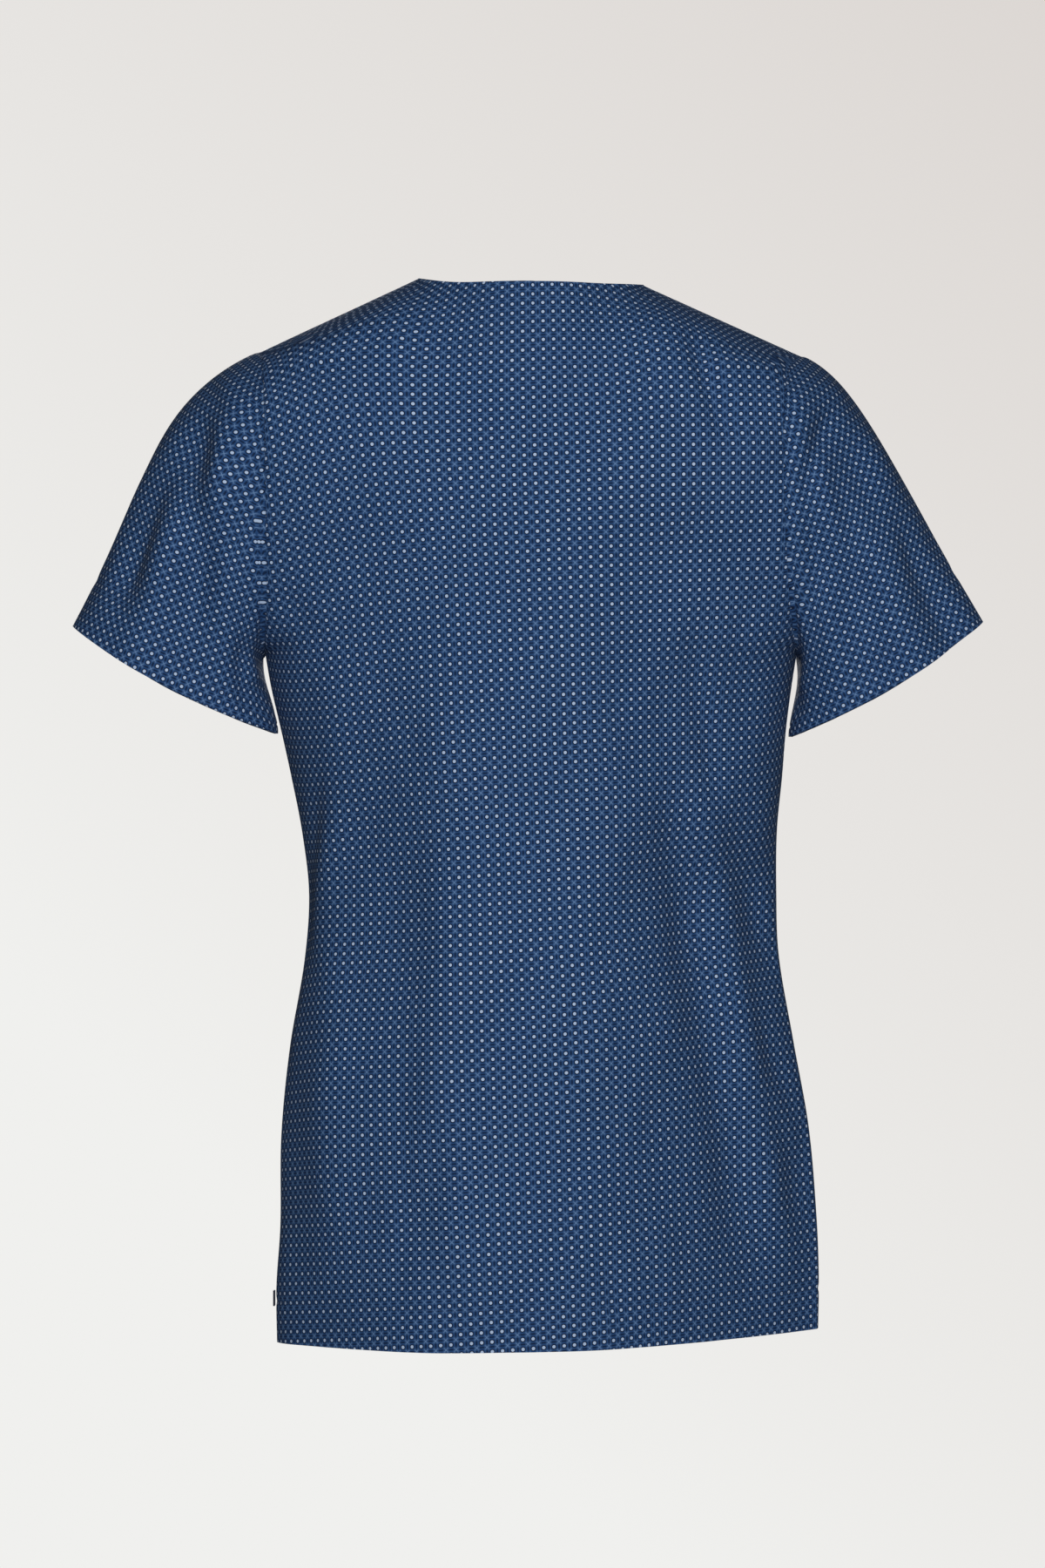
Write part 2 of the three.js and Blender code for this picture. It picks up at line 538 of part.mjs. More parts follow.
function sleeveGrid(side, loop) {
  const size = SLEEVES[side];
  const sign = side === "left" ? 1 : -1;
  const tip = new THREE.Vector3(size.tipX, size.middleY, size.tipZ);
  const inner = new THREE.Vector3(size.innerX, size.middleY, size.innerZ);
  const middle = tip.clone().add(inner).multiplyScalar(0.5);
  const toTip = tip.clone().sub(inner).normalize();
  const halfWidth = tip.distanceTo(inner) / 2;
  const down = new THREE.Vector3(toTip.z * sign, 0, -toTip.x * sign);
  const turns = loopTurns(loop);
  const length = middle.distanceTo(new THREE.Vector3(ARMHOLE_MIDDLE.x * sign, 0, ARMHOLE_MIDDLE.z));
  const hem = SLEEVE_HEM_DEPTH / length;
  const step = TURN_STEP / length;
  const shares = [];
  for (let i = 0; i < SLEEVE_STEPS; i += 1) shares.push((1 - hem - step) * i / (SLEEVE_STEPS - 1));
  shares.push(1 - hem, 1 - hem / 2, 1);
  const grid = shares.map((share) => loop.map((place, k) => {
    const turn = turns[k];
    const overTop = (1 - Math.cos(turn)) / 2;
    const back = Math.sin(turn);
    const start = place.point;
    const end = middle.clone()
      .addScaledVector(toTip, -Math.cos(turn) * halfWidth)
      .add(new THREE.Vector3(0, back * SLEEVE_HALF_DEPTH, 0))
      .addScaledVector(down, SLEEVE_HEM_SAG * back * back);
    const leaveDown = SLEEVE_LEAVE.down + SLEEVE_LEAVE.faceDown * back * back;
    const leave = new THREE.Vector3(SLEEVE_LEAVE.side * sign, SLEEVE_LEAVE.back * back, leaveDown).normalize();
    const first = start.clone().addScaledVector(leave, mix(UNDERARM_REACH, size.capReach, overTop));
    const hang = new THREE.Vector3(UNDERARM_HANG.side * sign, 0, UNDERARM_HANG.down);
    const arrive = down.clone().lerp(hang, 1 - overTop).normalize();
    const second = end.clone().addScaledVector(arrive, -mix(UNDERARM_HEM_RUN, size.hemRun, overTop));
    const point = new THREE.CubicBezierCurve3(start, first, second, end).getPoint(share);
    const away = new THREE.Vector3(-toTip.x * Math.cos(turn), back, -toTip.z * Math.cos(turn)).normalize();
    return point.addScaledVector(away, sleeveFoldRise(side, turn, share));
  }));
  return { grid, shares, hem };
}

const rows = panelRows();
const columns = panelColumns();
const hemRows = 2;
const shoulderEnd = SHOULDER_STEPS;
const lastRow = rows.length - 1;
const lastColumn = columns.length - 1;

function neckTurn(j, i) {
  const inNeck = i >= shoulderEnd && i <= lastColumn - shoulderEnd;
  return inNeck && j === lastRow ? TURNED_EXTRA : 0;
}

function panelTurned(j, i) {
  return j <= hemRows ? TURNED_EXTRA : neckTurn(j, i);
}

const pieces = {};
const firstArm = lastRow - ARMHOLE_STEPS;
for (const [face, outwardSign] of [["back", 1], ["front", -1]]) {
  const smooth = rows.map((row) => columns.map((u) => panelPoint(face, u, row)));
  const grid = foldPanel(face, smooth, outwardSign);
  const piece = makePiece(grid, false, outwardSign, panelTurned);
  for (const i of [0, lastColumn]) {
    const next = i === 0 ? 1 : lastColumn - 1;
    const along = grid[firstArm][next].clone().sub(grid[firstArm][i]).multiplyScalar(i === 0 ? 1 : -1);
    const up = grid[firstArm][i].clone().sub(grid[firstArm - 1][i]);
    piece.normals[firstArm][i] = along.cross(up).multiplyScalar(outwardSign).normalize();
  }
  pieces[face] = piece;
}

const loops = {};
for (const side of ["left", "right"]) {
  const loop = armholeLoop(side, pieces);
  loops[side] = loop;
  const { grid, shares, hem } = sleeveGrid(side, loop);
  const turned = (j) => (shares[j] >= 1 - hem - 1e-9 ? TURNED_EXTRA : 0);
  pieces[side] = makePiece(grid, true, side === "left" ? 1 : -1, turned);
}

// Seams share their normals before any edge is moved
for (let j = 0; j < firstArm; j += 1) {
  for (const i of [0, lastColumn]) {
    shareNormal(["back", "front"].map((name) => ({ ...pieces[name], j, i })));
  }
}
const onShoulder = (i) => i <= shoulderEnd || i >= lastColumn - shoulderEnd;
const shoulderColumns = columns.map((u, i) => i).filter(onShoulder);
for (const i of shoulderColumns) {
  if (i === 0 || i === lastColumn) continue;
  shareNormal(["back", "front"].map((name) => ({ ...pieces[name], j: lastRow, i })));
}
for (const side of ["left", "right"]) {
  loops[side].forEach((place, k) => {
    const members = place.members.map(([name, j, i]) => ({ ...pieces[name], j, i }));
    members.push({ ...pieces[side], j: 0, i: k });
    shareNormal(members);
  });
}

// Edges are pulled back from the seams
function tangentOf(points, k, closed) {
  const count = points.length;
  const before = closed ? points[(k + count - 1) % count] : points[Math.max(0, k - 1)];
  const after = closed ? points[(k + 1) % count] : points[Math.min(count - 1, k + 1)];
  return after.clone().sub(before).normalize();
}

for (const name of ["back", "front"]) {
  const piece = pieces[name];
  for (const i of [0, lastColumn]) {
    const inward = i === 0 ? 1 : -1;
    const side = piece.grid.slice(0, firstArm + 1).map((line) => line[i]);
    for (let j = 0; j <= firstArm; j += 1) {
      const inside = piece.grid[j][i + inward].clone().sub(piece.grid[j][i]);
      pullBack(piece, j, i, tangentOf(side, j, false), inside);
    }
  }
  for (const i of shoulderColumns) {
    const seam = i <= shoulderEnd ? piece.grid[lastRow].slice(0, shoulderEnd + 1)
      : piece.grid[lastRow].slice(lastColumn - shoulderEnd);
    const k = i <= shoulderEnd ? i : i - (lastColumn - shoulderEnd);
    const inside = piece.grid[lastRow - 1][i].clone().sub(piece.grid[lastRow][i]);
    pullBack(piece, lastRow, i, tangentOf(seam, k, false), inside);
  }
}
for (const side of ["left", "right"]) {
  const loopPoints = loops[side].map((place) => place.point);
  loops[side].forEach((place, k) => {
    const tangent = tangentOf(loopPoints, k, true);
    for (const [name, j, i] of place.members) {
      const inward = i === 0 ? 1 : -1;
      const inside = pieces[name].grid[j][i + inward].clone().sub(pieces[name].grid[j][i]);
      pullBack(pieces[name], j, i, tangent, inside);
    }
    const inside = pieces[side].grid[1][k].clone().sub(pieces[side].grid[0][k]);
    pullBack(pieces[side], 0, k, tangent, inside);
  });
}
for (const piece of Object.values(pieces)) applyShifts(piece);

function cloth(name, geometry, colour) {
  const material = new THREE.MeshStandardMaterial({ color: colour, roughness: 0.9, metalness: 0 });
  const mesh = new THREE.Mesh(geometry, material);
  mesh.name = name;
  return mesh;
}

// Folded tape against the seam, standing out from the side
function tabGeometry() {
  const side = read(SIDE_SEAMS, "z", "leftX", TAB.z) + CLOTH / 2 + SEAM_GAP;
  const y = read(SIDE_SEAMS, "z", "leftY", TAB.z);
  const tab = new THREE.BoxGeometry(TAB.thick, TAB.deep, TAB.tall);
  tab.translate(side + TAB.thick / 2 + TAB.clear, y, TAB.z);
  return tab;
}

const scrubs = new THREE.Group();
scrubs.name = "scrubs_top";
scrubs.add(cloth("back_panel", wallGeometry(pieces.back), 0x37506f));
scrubs.add(cloth("front_panel", wallGeometry(pieces.front), 0x37506f));
scrubs.add(cloth("sleeve_left", wallGeometry(pieces.left), 0x2f4867));
scrubs.add(cloth("sleeve_right", wallGeometry(pieces.right), 0x2f4867));
scrubs.add(cloth("side_tab", tabGeometry(), 0x141c2b));

export default scrubs;
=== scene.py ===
import math

import bpy
import numpy as np
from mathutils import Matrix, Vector


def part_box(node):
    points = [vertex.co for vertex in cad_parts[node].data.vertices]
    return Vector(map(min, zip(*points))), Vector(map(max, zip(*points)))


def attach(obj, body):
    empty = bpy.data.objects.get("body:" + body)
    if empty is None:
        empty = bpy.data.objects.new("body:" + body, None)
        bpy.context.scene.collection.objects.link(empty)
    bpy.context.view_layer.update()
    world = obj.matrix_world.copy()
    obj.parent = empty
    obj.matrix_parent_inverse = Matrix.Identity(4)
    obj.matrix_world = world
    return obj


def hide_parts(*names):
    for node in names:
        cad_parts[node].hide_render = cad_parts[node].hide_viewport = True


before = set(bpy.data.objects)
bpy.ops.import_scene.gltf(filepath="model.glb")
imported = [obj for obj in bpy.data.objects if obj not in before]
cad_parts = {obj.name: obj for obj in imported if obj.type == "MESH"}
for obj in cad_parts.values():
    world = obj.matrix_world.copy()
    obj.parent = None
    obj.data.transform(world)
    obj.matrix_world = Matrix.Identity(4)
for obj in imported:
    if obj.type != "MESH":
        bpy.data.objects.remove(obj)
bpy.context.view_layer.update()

# The cutting and hanging sizes below are those of the CAD model, in millimetres, Z up. The garment
# faces -Y and the wearer's left is +X. Meshes are made in metres at the very end.
MM = 0.001
HEM_Z = -690.0
HEM_TILT = 3.6
UNDERARM_Z = -245.0
UNDERARM_SHARE = 0.67
BODY_HEM = 26.0
SLEEVE_HEM = 14.0
NECK_SHARE = 0.42
NECK_LEFT_Z, NECK_RIGHT_Z, NECK_Y = 0.5, -4.0, 10.0
TIP_LEFT_Z, TIP_RIGHT_Z, TIP_Y = -46.0, -49.0, -2.0
BACK_NECK_Z, BACK_NECK_RISE = -7.5, 42.0
V_NECK_Z, V_NECK_CURVE = -165.0, 0.92
FLAT_SOFTNESS = 20.0
EDGE_TURN = {"back": 12, "front": 8}
BACK_TIGHT, BACK_WIDE, BACK_TIGHT_SHARE = 12.0, 40.0, 0.7
FRONT_TURN_NECK, FRONT_TURN_TIP = 75.0, 30.0
FOLD_CLEAR = 40.0

# Cloth: half the wall of the CAD model, so that both have the same outer face, and the real thickness
WALL_HALF = 0.75
CLOTH = 0.9
TURNED = 1.5


def table(names, rows):
    return dict(zip(names.split(), np.array(rows, float).T))


SIDE = table("z left_x left_y left_flank right_x right_y right_flank", [
    (-693, 167, 4, 16, -187, -10, -12),
    (-655, 167.5, 3, 15, -187.5, -11, -13),
    (-615, 165, 1, 14, -186, -12, -14),
    (-557, 164.5, -2, 13, -181, -14, -14),
    (-500, 159, -6, 12, -171, -17, -11),
    (-443, 149.5, -10, 8, -161.5, -20, -16),
    (-400, 146.7, -12, 6, -160, -20, -14),
    (-360, 151.3, -12, 7, -160.5, -18, 8),
    (-324, 158.5, -11, 16, -164, -15, 15),
    (-293, 165.5, -10, 26, -166.5, -12, 20),
    (-265, 172, -9, 33, -170, -10, 27),
    (-245, 175.5, -8, 38, -173, -8, 36),
])
ARM = table("share z left_back_x left_front_x right_back_x right_front_x"
            " back_y back_flank front_y front_flank", [
    (0, -245, 175.5, 175.5, -173, -173, -8, 38, -8, -8),
    (0.12, -235, 174.5, 173, -170, -169, 24, 46, -38, -38),
    (0.25, -208, 171.8, 167, -165.5, -162, 49, 54, -54, -54),
    (0.42, -161, 171.5, 164, -162, -156, 66, 68, -64, -65),
    (0.58, -116, 172, 165, -160.5, -157, 71, 75, -64, -68),
    (0.72, -79, 172.8, 168.5, -161.5, -162, 65, 78, -55, -68),
    (0.84, -58, 174.8, 173.5, -166, -168, 43, 79, -36, -68),
    (0.93, -49.5, 176.8, 176.4, -171.5, -173, 18, 79, -17, -68),
    (1, -46, 178, 178, -175.6, -175.6, -2, 79, -2, -68),
])
BACK = table("z peak flat depth bend round", [
    (-693, 17, 44, 101, 1.3, 1),
    (-551, 19, 40, 102, 1.35, 1),
    (-484, 12, 50, 98, 1.2, 1),
    (-418, 11, 46, 93, 1.1, 1),
    (-351, 8, 52, 92, 1.05, 1),
    (-285, 10, 48, 96, 1, 1),
    (-240, 7, 34, 98, 1.15, 1),
    (-205, 7, 34, 98, 1.2, 1),
    (-174, 7, 34, 98, 1.3, 1),
    (-140, 5, 36, 97, 1.9, 1),
    (-100, 5, 40, 96, 2.3, 1),
    (0, 5, 40, 96, 2, 1),
])
FRONT = table("z peak flat depth bend round", [
    (-693, -8, 10, -130, 1.9, 2), (-557, -8, 10, -132, 1.9, 2), (-400, -5, 10, -126, 1.8, 1.9),
    (-300, 0, 15, -137, 1.8, 2.2), (-250, 0, 20, -138, 1.7, 2.6), (-226, 0, 20, -135, 1.7, 2),
    (-200, 0, 25, -130, 1.7, 1.4), (-165, 0, 25, -120, 1.8, 1.1), (0, 0, 25, -104, 1.9, 1),
])

# Long folds that the CAD model has too: face, from x, z to x, z, width and height (a trough is negative)
LONG_FOLDS = [
    ("back", 80, -340, 86, -660, 18, -5), ("back", 124, -250, 132, -650, 16, 7),
    ("back", -81, -300, -140, -640, 16, -6), ("back", -100, -290, -164, -650, 12, 6),
    ("back", -104, -22, -124, -110, 9, -5), ("front", 88, -270, 98, -660, 22, -6),
    ("front", 48, -300, 44, -640, 18, 4), ("front", -84, -260, -104, -650, 20, -7),
    ("front", -40, -320, -52, -670, 18, 4),
]

# Finer creases, only in the cloth: face, points of the crease as x, z, width at its middle, height
CREASES = [
    ("back", [(-98, -30), (-108, -62), (-124, -104)], 6, -2.2),
    ("back", [(-112, -36), (-122, -66), (-133, -100)], 7, 2.0),
    ("back", [(-100, -215), (-111, -300), (-120, -370)], 7, -2.6),
    ("back", [(-138, -400), (-150, -440), (-162, -470)], 6, -1.8),
    ("back", [(-146, -385), (-154, -415), (-164, -440)], 5, 1.5),
    ("back", [(-140, -470), (-154, -505), (-170, -540)], 6, -1.6),
    ("back", [(-150, -520), (-163, -548), (-176, -575)], 5, 1.4),
    ("back", [(-12, -566), (-24, -575), (-38, -577)], 7, -1.0),
    ("back", [(120, -330), (132, -380), (138, -450)], 7, 2.2),
    ("back", [(134, -300), (142, -380), (146, -470)], 5, -2.0),
    ("back", [(60, -520), (66, -590), (70, -660)], 9, -1.8),
    ("back", [(44, -560), (46, -610), (50, -672)], 8, 1.4),
    ("back", [(88, -540), (94, -610), (96, -676)], 7, 1.6),
    ("back", [(-46, -610), (-52, -645), (-50, -680)], 7, -1.4),
    ("back", [(-76, -600), (-84, -640), (-90, -684)], 8, 1.5),
    ("back", [(180, -50), (130, -62), (78, -8)], 8, 2.6),
    ("back", [(168, -62), (130, -74), (92, -40)], 8, -1.0),
    ("back", [(-176, -60), (-150, -72), (-120, -48)], 8, 2.2),
    ("back", [(-128, -94), (-146, -112), (-156, -142)], 12, 1.6),
    ("back", [(164, -200), (150, -226), (132, -240)], 7, -1.6),
    ("back", [(-152, -190), (-140, -222), (-124, -240)], 7, -1.8),
    ("front", [(150, -215), (128, -226), (100, -228)], 8, -2.2),
    ("front", [(154, -232), (132, -248), (108, -256)], 7, 1.8),
    ("front", [(-148, -212), (-124, -226), (-98, -230)], 8, -2.4),
    ("front", [(-152, -234), (-130, -250), (-104, -254)], 7, 1.8),
    ("front", [(70, -120), (62, -180), (66, -250)], 9, -2.0),
    ("front", [(-66, -110), (-58, -176), (-64, -246)], 9, -1.8),
    ("front", [(128, -330), (134, -420), (128, -520)], 9, -2.4),
    ("front", [(-130, -330), (-138, -430), (-140, -540)], 9, -2.6),
    ("front", [(20, -420), (12, -520), (16, -640)], 10, -2.0),
    ("front", [(-8, -450), (-14, -540), (-10, -650)], 9, 1.8),
    ("front", [(110, -560), (116, -620), (112, -680)], 8, 2.0),
    ("front", [(-70, -560), (-76, -620), (-74, -682)], 8, 2.0),
]

SLEEVES = {
    "left": dict(sign=1, tip=(301, -226), inner=(167.8, -296), middle_y=-6, cap=76, run=112),
    "right": dict(sign=-1, tip=(-294.5, -223), inner=(-168.6, -298), middle_y=-8, cap=40, run=124),
}
SLEEVE_HALF_DEPTH = 54.0
SLEEVE_SAG = 6.0
UNDERARM_REACH, UNDERARM_RUN = 12.0, 18.0
ARMHOLE_MIDDLE = (175.0, -145.0)
SEAM_VALLEY = 4.0
LEAVE_SIDE, LEAVE_BACK, LEAVE_DOWN, LEAVE_FACE = 0.85, -0.12, -0.36, -0.3

# Sleeve folds of the CAD model: side, degrees round from the underarm over the back, from and to
# as shares of the length, width in degrees, height
SLEEVE_FOLDS = [
    ("left", 138, 0.12, 0.8, 15, -8), ("left", 112, 0.05, 0.95, 13, 4), ("left", 88, 0.02, 0.9, 12, -5),
    ("left", 225, 0.15, 0.9, 18, -6), ("left", 265, 0.1, 0.95, 16, 4),
    ("right", 132, 0.08, 0.95, 14, -7), ("right", 102, 0.2, 1, 12, 4), ("right", 80, 0.05, 0.9, 12, -5),
    ("right", 230, 0.1, 0.95, 17, -6), ("right", 272, 0.15, 0.9, 16, 4),
]
# Finer creases of the sleeves: side, face, points of the crease as x, z, width at its middle, height
SLEEVE_CREASES = [
    ("left", "back", [(204, -84), (197, -170), (199, -280)], 7, 3.8),
    ("left", "back", [(212, -62), (224, -158), (214, -250)], 9, -5.2),
    ("left", "back", [(232, -96), (240, -160), (246, -232)], 9, 3.4),
    ("left", "back", [(258, -140), (266, -190), (272, -232)], 8, -1.8),
    ("left", "back", [(186, -225), (187, -262), (184, -292)], 6, -5.0),
    ("left", "back", [(276, -160), (288, -195), (296, -228)], 8, -2.6),
    ("left", "back", [(178, -258), (177, -276), (175, -292)], 5, -3.4),
    ("left", "back", [(213, -64), (206, -78), (202, -98)], 5, -2.0),
    ("right", "back", [(-200, -80), (-180, -110), (-170, -160)], 6, -4.4),
    ("right", "back", [(-212, -84), (-232, -150), (-246, -218)], 8, 4.4),
    ("right", "back", [(-190, -110), (-208, -184), (-230, -250)], 9, -6.4),
    ("right", "back", [(-178, -110), (-182, -170), (-180, -240)], 6, -2.4),
    ("right", "back", [(-186, -190), (-194, -230), (-202, -280)], 6, 2.4),
    ("right", "back", [(-252, -150), (-266, -190), (-278, -226)], 8, -2.2),
    ("right", "back", [(-172, -262), (-172, -278), (-173, -292)], 5, -3.0),
    ("right", "back", [(-186, -62), (-196, -74), (-206, -82)], 6, 1.4),
    ("left", "front", [(206, -84), (216, -160), (222, -236)], 9, -3.4),
    ("left", "front", [(240, -110), (256, -170), (262, -230)], 9, 2.2),
    ("left", "front", [(196, -120), (198, -190), (200, -250)], 7, 1.8),
    ("right", "front", [(-202, -86), (-212, -150), (-226, -240)], 9, -3.4),
    ("right", "front", [(-236, -110), (-250, -170), (-258, -226)], 9, 2.0),
    ("right", "front", [(-188, -130), (-192, -200), (-198, -262)], 7, 1.8),
]

# Grid counts of the finished cloth
HEM_ROWS = 12
SIDE_ROWS = 104
ARM_STEPS = 56
SHOULDER_COLUMNS = 34
NECK_COLUMNS = 74
SLEEVE_ROWS = 56
CROWDING = 1.4

# The flat cut is settled on a coarse grid first
COARSE_ROWS, COARSE_COLUMNS = 34, 30
RELAX_ROUNDS, RELAX_SHARE = 1200, 0.45

# The cloth hangs a little off its grain, so the rows of the print rise to the wearer's right
GRAIN_LEAN, ROW_RISE = 0.013, 0.058

# How deep the cloth sinks at a seam and at a line of hem stitching, and how far it reaches
SEAM_SINK, SEAM_REACH = 0.9, 1.8
BODY_HEM_SINK, BODY_HEM_REACH = 0.6, 1.8
SLEEVE_HEM_SINK, SLEEVE_HEM_REACH = 0.55, 1.6
NECK_TURN = 9

# Beside the armhole seam a sleeve drops within the first length and has risen again by the second
VALLEY_START, VALLEY_END = 5, 14
# Mean radius and length of a sleeve, for its unevenness
SLEEVE_RADIUS, SLEEVE_LENGTH = 62, 120

# Hem stitches
STITCH_LENGTH, STITCH_GAP, THREAD = 2.5, 0.5, 0.34


def mix(a, b, share):
    return a + (b - a) * share


def ease(low, high, value):
    share = np.clip((value - low) / (high - low), 0, 1)
    return share * share * (3 - 2 * share)


def read(rows, key, column, at):
    """Smooth curve through one column of a table."""
    keys, values = rows[key], rows[column]
    slopes = np.empty_like(values)
    slopes[1:-1] = (values[2:] - values[:-2]) / (keys[2:] - keys[:-2])
    slopes[0] = (values[1] - values[0]) / (keys[1] - keys[0])
    slopes[-1] = (values[-1] - values[-2]) / (keys[-1] - keys[-2])
    place = np.clip(at, keys[0], keys[-1])
    i = np.clip(np.searchsorted(keys, place, side="right") - 1, 0, len(keys) - 2)
    span = keys[i + 1] - keys[i]
    t = (place - keys[i]) / span
    return ((2 * t ** 3 - 3 * t ** 2 + 1) * values[i] + (t ** 3 - 2 * t ** 2 + t) * span * slopes[i]
            + (3 * t ** 2 - 2 * t ** 3) * values[i + 1] + (t ** 3 - t ** 2) * span * slopes[i + 1])


def unit(v):
    return v / np.maximum(np.linalg.norm(v, axis=-1, keepdims=True), 1e-9)


def hem_height(u):
    return HEM_Z - HEM_TILT * u


def tip_height(u):
    return np.where(u >= 0, TIP_LEFT_Z, TIP_RIGHT_Z)


def neck_point_height(u):
    return np.where(u >= 0, NECK_LEFT_Z, NECK_RIGHT_Z)


def top_height(face, u):
    out = np.abs(u)
    shoulder = mix(neck_point_height(u), tip_height(u), (out - NECK_SHARE) / (1 - NECK_SHARE))
    inward = np.clip(out / NECK_SHARE, 0, 1)
    if face == "back":
        neck = mix(BACK_NECK_Z, neck_point_height(u), inward ** 5)
    else:
        neck = mix(neck_point_height(u), V_NECK_Z, (1 - inward) ** V_NECK_CURVE)
    return np.where(out >= NECK_SHARE, shoulder, neck)


def turn_line(face, u):
    inside = np.clip(1 - (u / NECK_SHARE) ** 2, 0, 1)
    out = np.where(inside > 0, NECK_SHARE * (1 - inside / 2), np.abs(u))
    along = (out - NECK_SHARE) / (1 - NECK_SHARE)
    z = mix(neck_point_height(u), tip_height(u), along)
    if face == "back":
        z = z + BACK_NECK_RISE * inside ** 2
    return mix(NECK_Y, TIP_Y, along), z


def turn_share(face, u, drop):
    out = np.abs(u)
    if face == "back":
        tight = BACK_TIGHT_SHARE * ease(0.2, NECK_SHARE + 0.12, out)
        return 1 - tight * np.exp(-drop / BACK_TIGHT) - (1 - tight) * np.exp(-drop / BACK_WIDE)
    return 1 - np.exp(-drop / mix(FRONT_TURN_NECK, FRONT_TURN_TIP, out * out))


def soft_beyond(away, flat):
    def soft(d):
        return (d + np.hypot(d, FLAT_SOFTNESS)) / 2
    return soft(away - flat) - soft(-flat)


def edge_points(face, side, rows):
    """x, y, z and flank depth of one edge of a panel, for each row."""
    sign = 1 if side == "left" else -1
    arm = rows["arm"]
    below = arm < 0
    share = np.where(below, 0, arm)
    sink = 0 if sign == 1 else (TIP_RIGHT_Z - TIP_LEFT_Z) * share ** 3
    low_x = read(SIDE, "z", f"{side}_x", rows["z"])
    low_y = read(SIDE, "z", f"{side}_y", rows["z"])
    x = np.where(below, low_x, read(ARM, "share", f"{side}_{face}_x", share))
    y = np.where(below, low_y, read(ARM, "share", f"{face}_y", share))
    low_flank = read(SIDE, "z", f"{side}_flank", rows["z"]) if face == "back" else low_y
    flank = np.where(below, low_flank, read(ARM, "share", f"{face}_flank", share))
    low_z = mix(hem_height(sign), UNDERARM_Z, rows["side"])
    z = np.where(below, low_z, read(ARM, "share", "z", share) + sink)
    return x, y, z, flank


def panel_rows():
    length = UNDERARM_Z - HEM_Z
    hem = BODY_HEM / length
    low = np.concatenate([np.linspace(0, hem, HEM_ROWS, endpoint=False),
                          np.linspace(hem, 1, SIDE_ROWS, endpoint=False)])
    arm = np.linspace(0, 1, ARM_STEPS + 1)
    # rows crowd a little towards the top edge
    arm = 1 - (1 - arm) ** 1.15
    return {
        "side": np.concatenate([low, np.ones_like(arm)]),
        "arm": np.concatenate([-np.ones_like(low), arm]),
        "z": np.concatenate([mix(HEM_Z, UNDERARM_Z, low), np.full_like(arm, UNDERARM_Z)]),
        "middle": np.concatenate([low * UNDERARM_SHARE, mix(UNDERARM_SHARE, 1, arm)]),
        "first_arm": len(low),
    }


def panel_columns():
    outer = mix(1, NECK_SHARE, (np.arange(SHOULDER_COLUMNS) / SHOULDER_COLUMNS) ** CROWDING)
    even = np.linspace(1, -1, NECK_COLUMNS + 1)
    neck = NECK_SHARE * mix(even, np.sin(even * math.pi / 2), 0.3)
    return np.concatenate([outer, neck, -outer[::-1]])


def panel_points(face, u, rows):
    """Middle surface of a panel, u from 1 at the wearer's left edge to -1 at the right."""
    u = u[None, :]
    out = np.abs(u)
    left = edge_points(face, "left", rows)
    right = edge_points(face, "right", rows)
    pick = [np.where(u >= 0, a[:, None], b[:, None]) for a, b in zip(left, right)]
    other = np.where(u >= 0, right[0][:, None], left[0][:, None])
    edge_x, edge_y, edge_z, flank = pick
    middle = rows["middle"][:, None]
    bunch = 0.75 * (1 - ease(0.3, 0.9, middle))
    spread = mix(out, np.sin(out * math.pi / 2), bunch)
    x = mix((edge_x + other) / 2, edge_x, spread)
    edge_hem = hem_height(np.sign(u))
    edge_share = (edge_z - edge_hem) / (tip_height(u) - edge_hem)
    share = mix(middle, edge_share, out ** 3)
    z = mix(hem_height(u), top_height(face, u), share)
    rows_of = BACK if face == "back" else FRONT
    names = ("peak", "flat", "depth", "bend", "round")
    peak, flat, depth, bend, rounding = (read(rows_of, "z", name, z) for name in names)
    reach = soft_beyond(np.abs(edge_x - peak), flat)
    s = np.clip(soft_beyond(np.abs(x - peak), flat) / reach, 0, 1)
    s = np.where(out >= 1, 1, s)
    body = mix(flank, depth, (1 - s ** bend) ** (1 / rounding))
    line_y, line_z = turn_line(face, u)
    turned = mix(line_y, body, turn_share(face, u, line_z - z))
    edge_turned = mix(TIP_Y, flank, turn_share(face, 1, tip_height(u) - edge_z))
    y = turned + (edge_y - edge_turned) * out ** EDGE_TURN[face]
    return np.stack(np.broadcast_arrays(x, y, z), axis=-1)


def differences(lines):
    """From the line before to the line after each line of a grid, one-sided at its ends."""
    return np.concatenate([lines[1:2] - lines[:1], lines[2:] - lines[:-2], lines[-1:] - lines[-2:-1]])


def grid_normals(grid, closed, sign):
    if closed:
        along = np.roll(grid, -1, axis=1) - np.roll(grid, 1, axis=1)
    else:
        along = differences(grid.swapaxes(0, 1)).swapaxes(0, 1)
    return unit(np.cross(along, differences(grid)) * sign)


def run_along(line):
    """Length from a line's first point to each of its points."""
    return np.concatenate([[0], np.cumsum(np.linalg.norm(np.diff(line, axis=0), axis=1))])


def long_fold_rise(face, x, z):
    rise = np.zeros_like(x)
    for name, x0, z0, x1, z1, width, height in LONG_FOLDS:
        if name != face:
            continue
        along = (z0 - z) / (z0 - z1)
        fade = ease(-0.1, 0.35, along) * (1 - ease(0.8, 1.1, along))
        across = (x - mix(x0, x1, along)) / width
        rise += height * fade * np.exp(-across ** 2)
    return rise


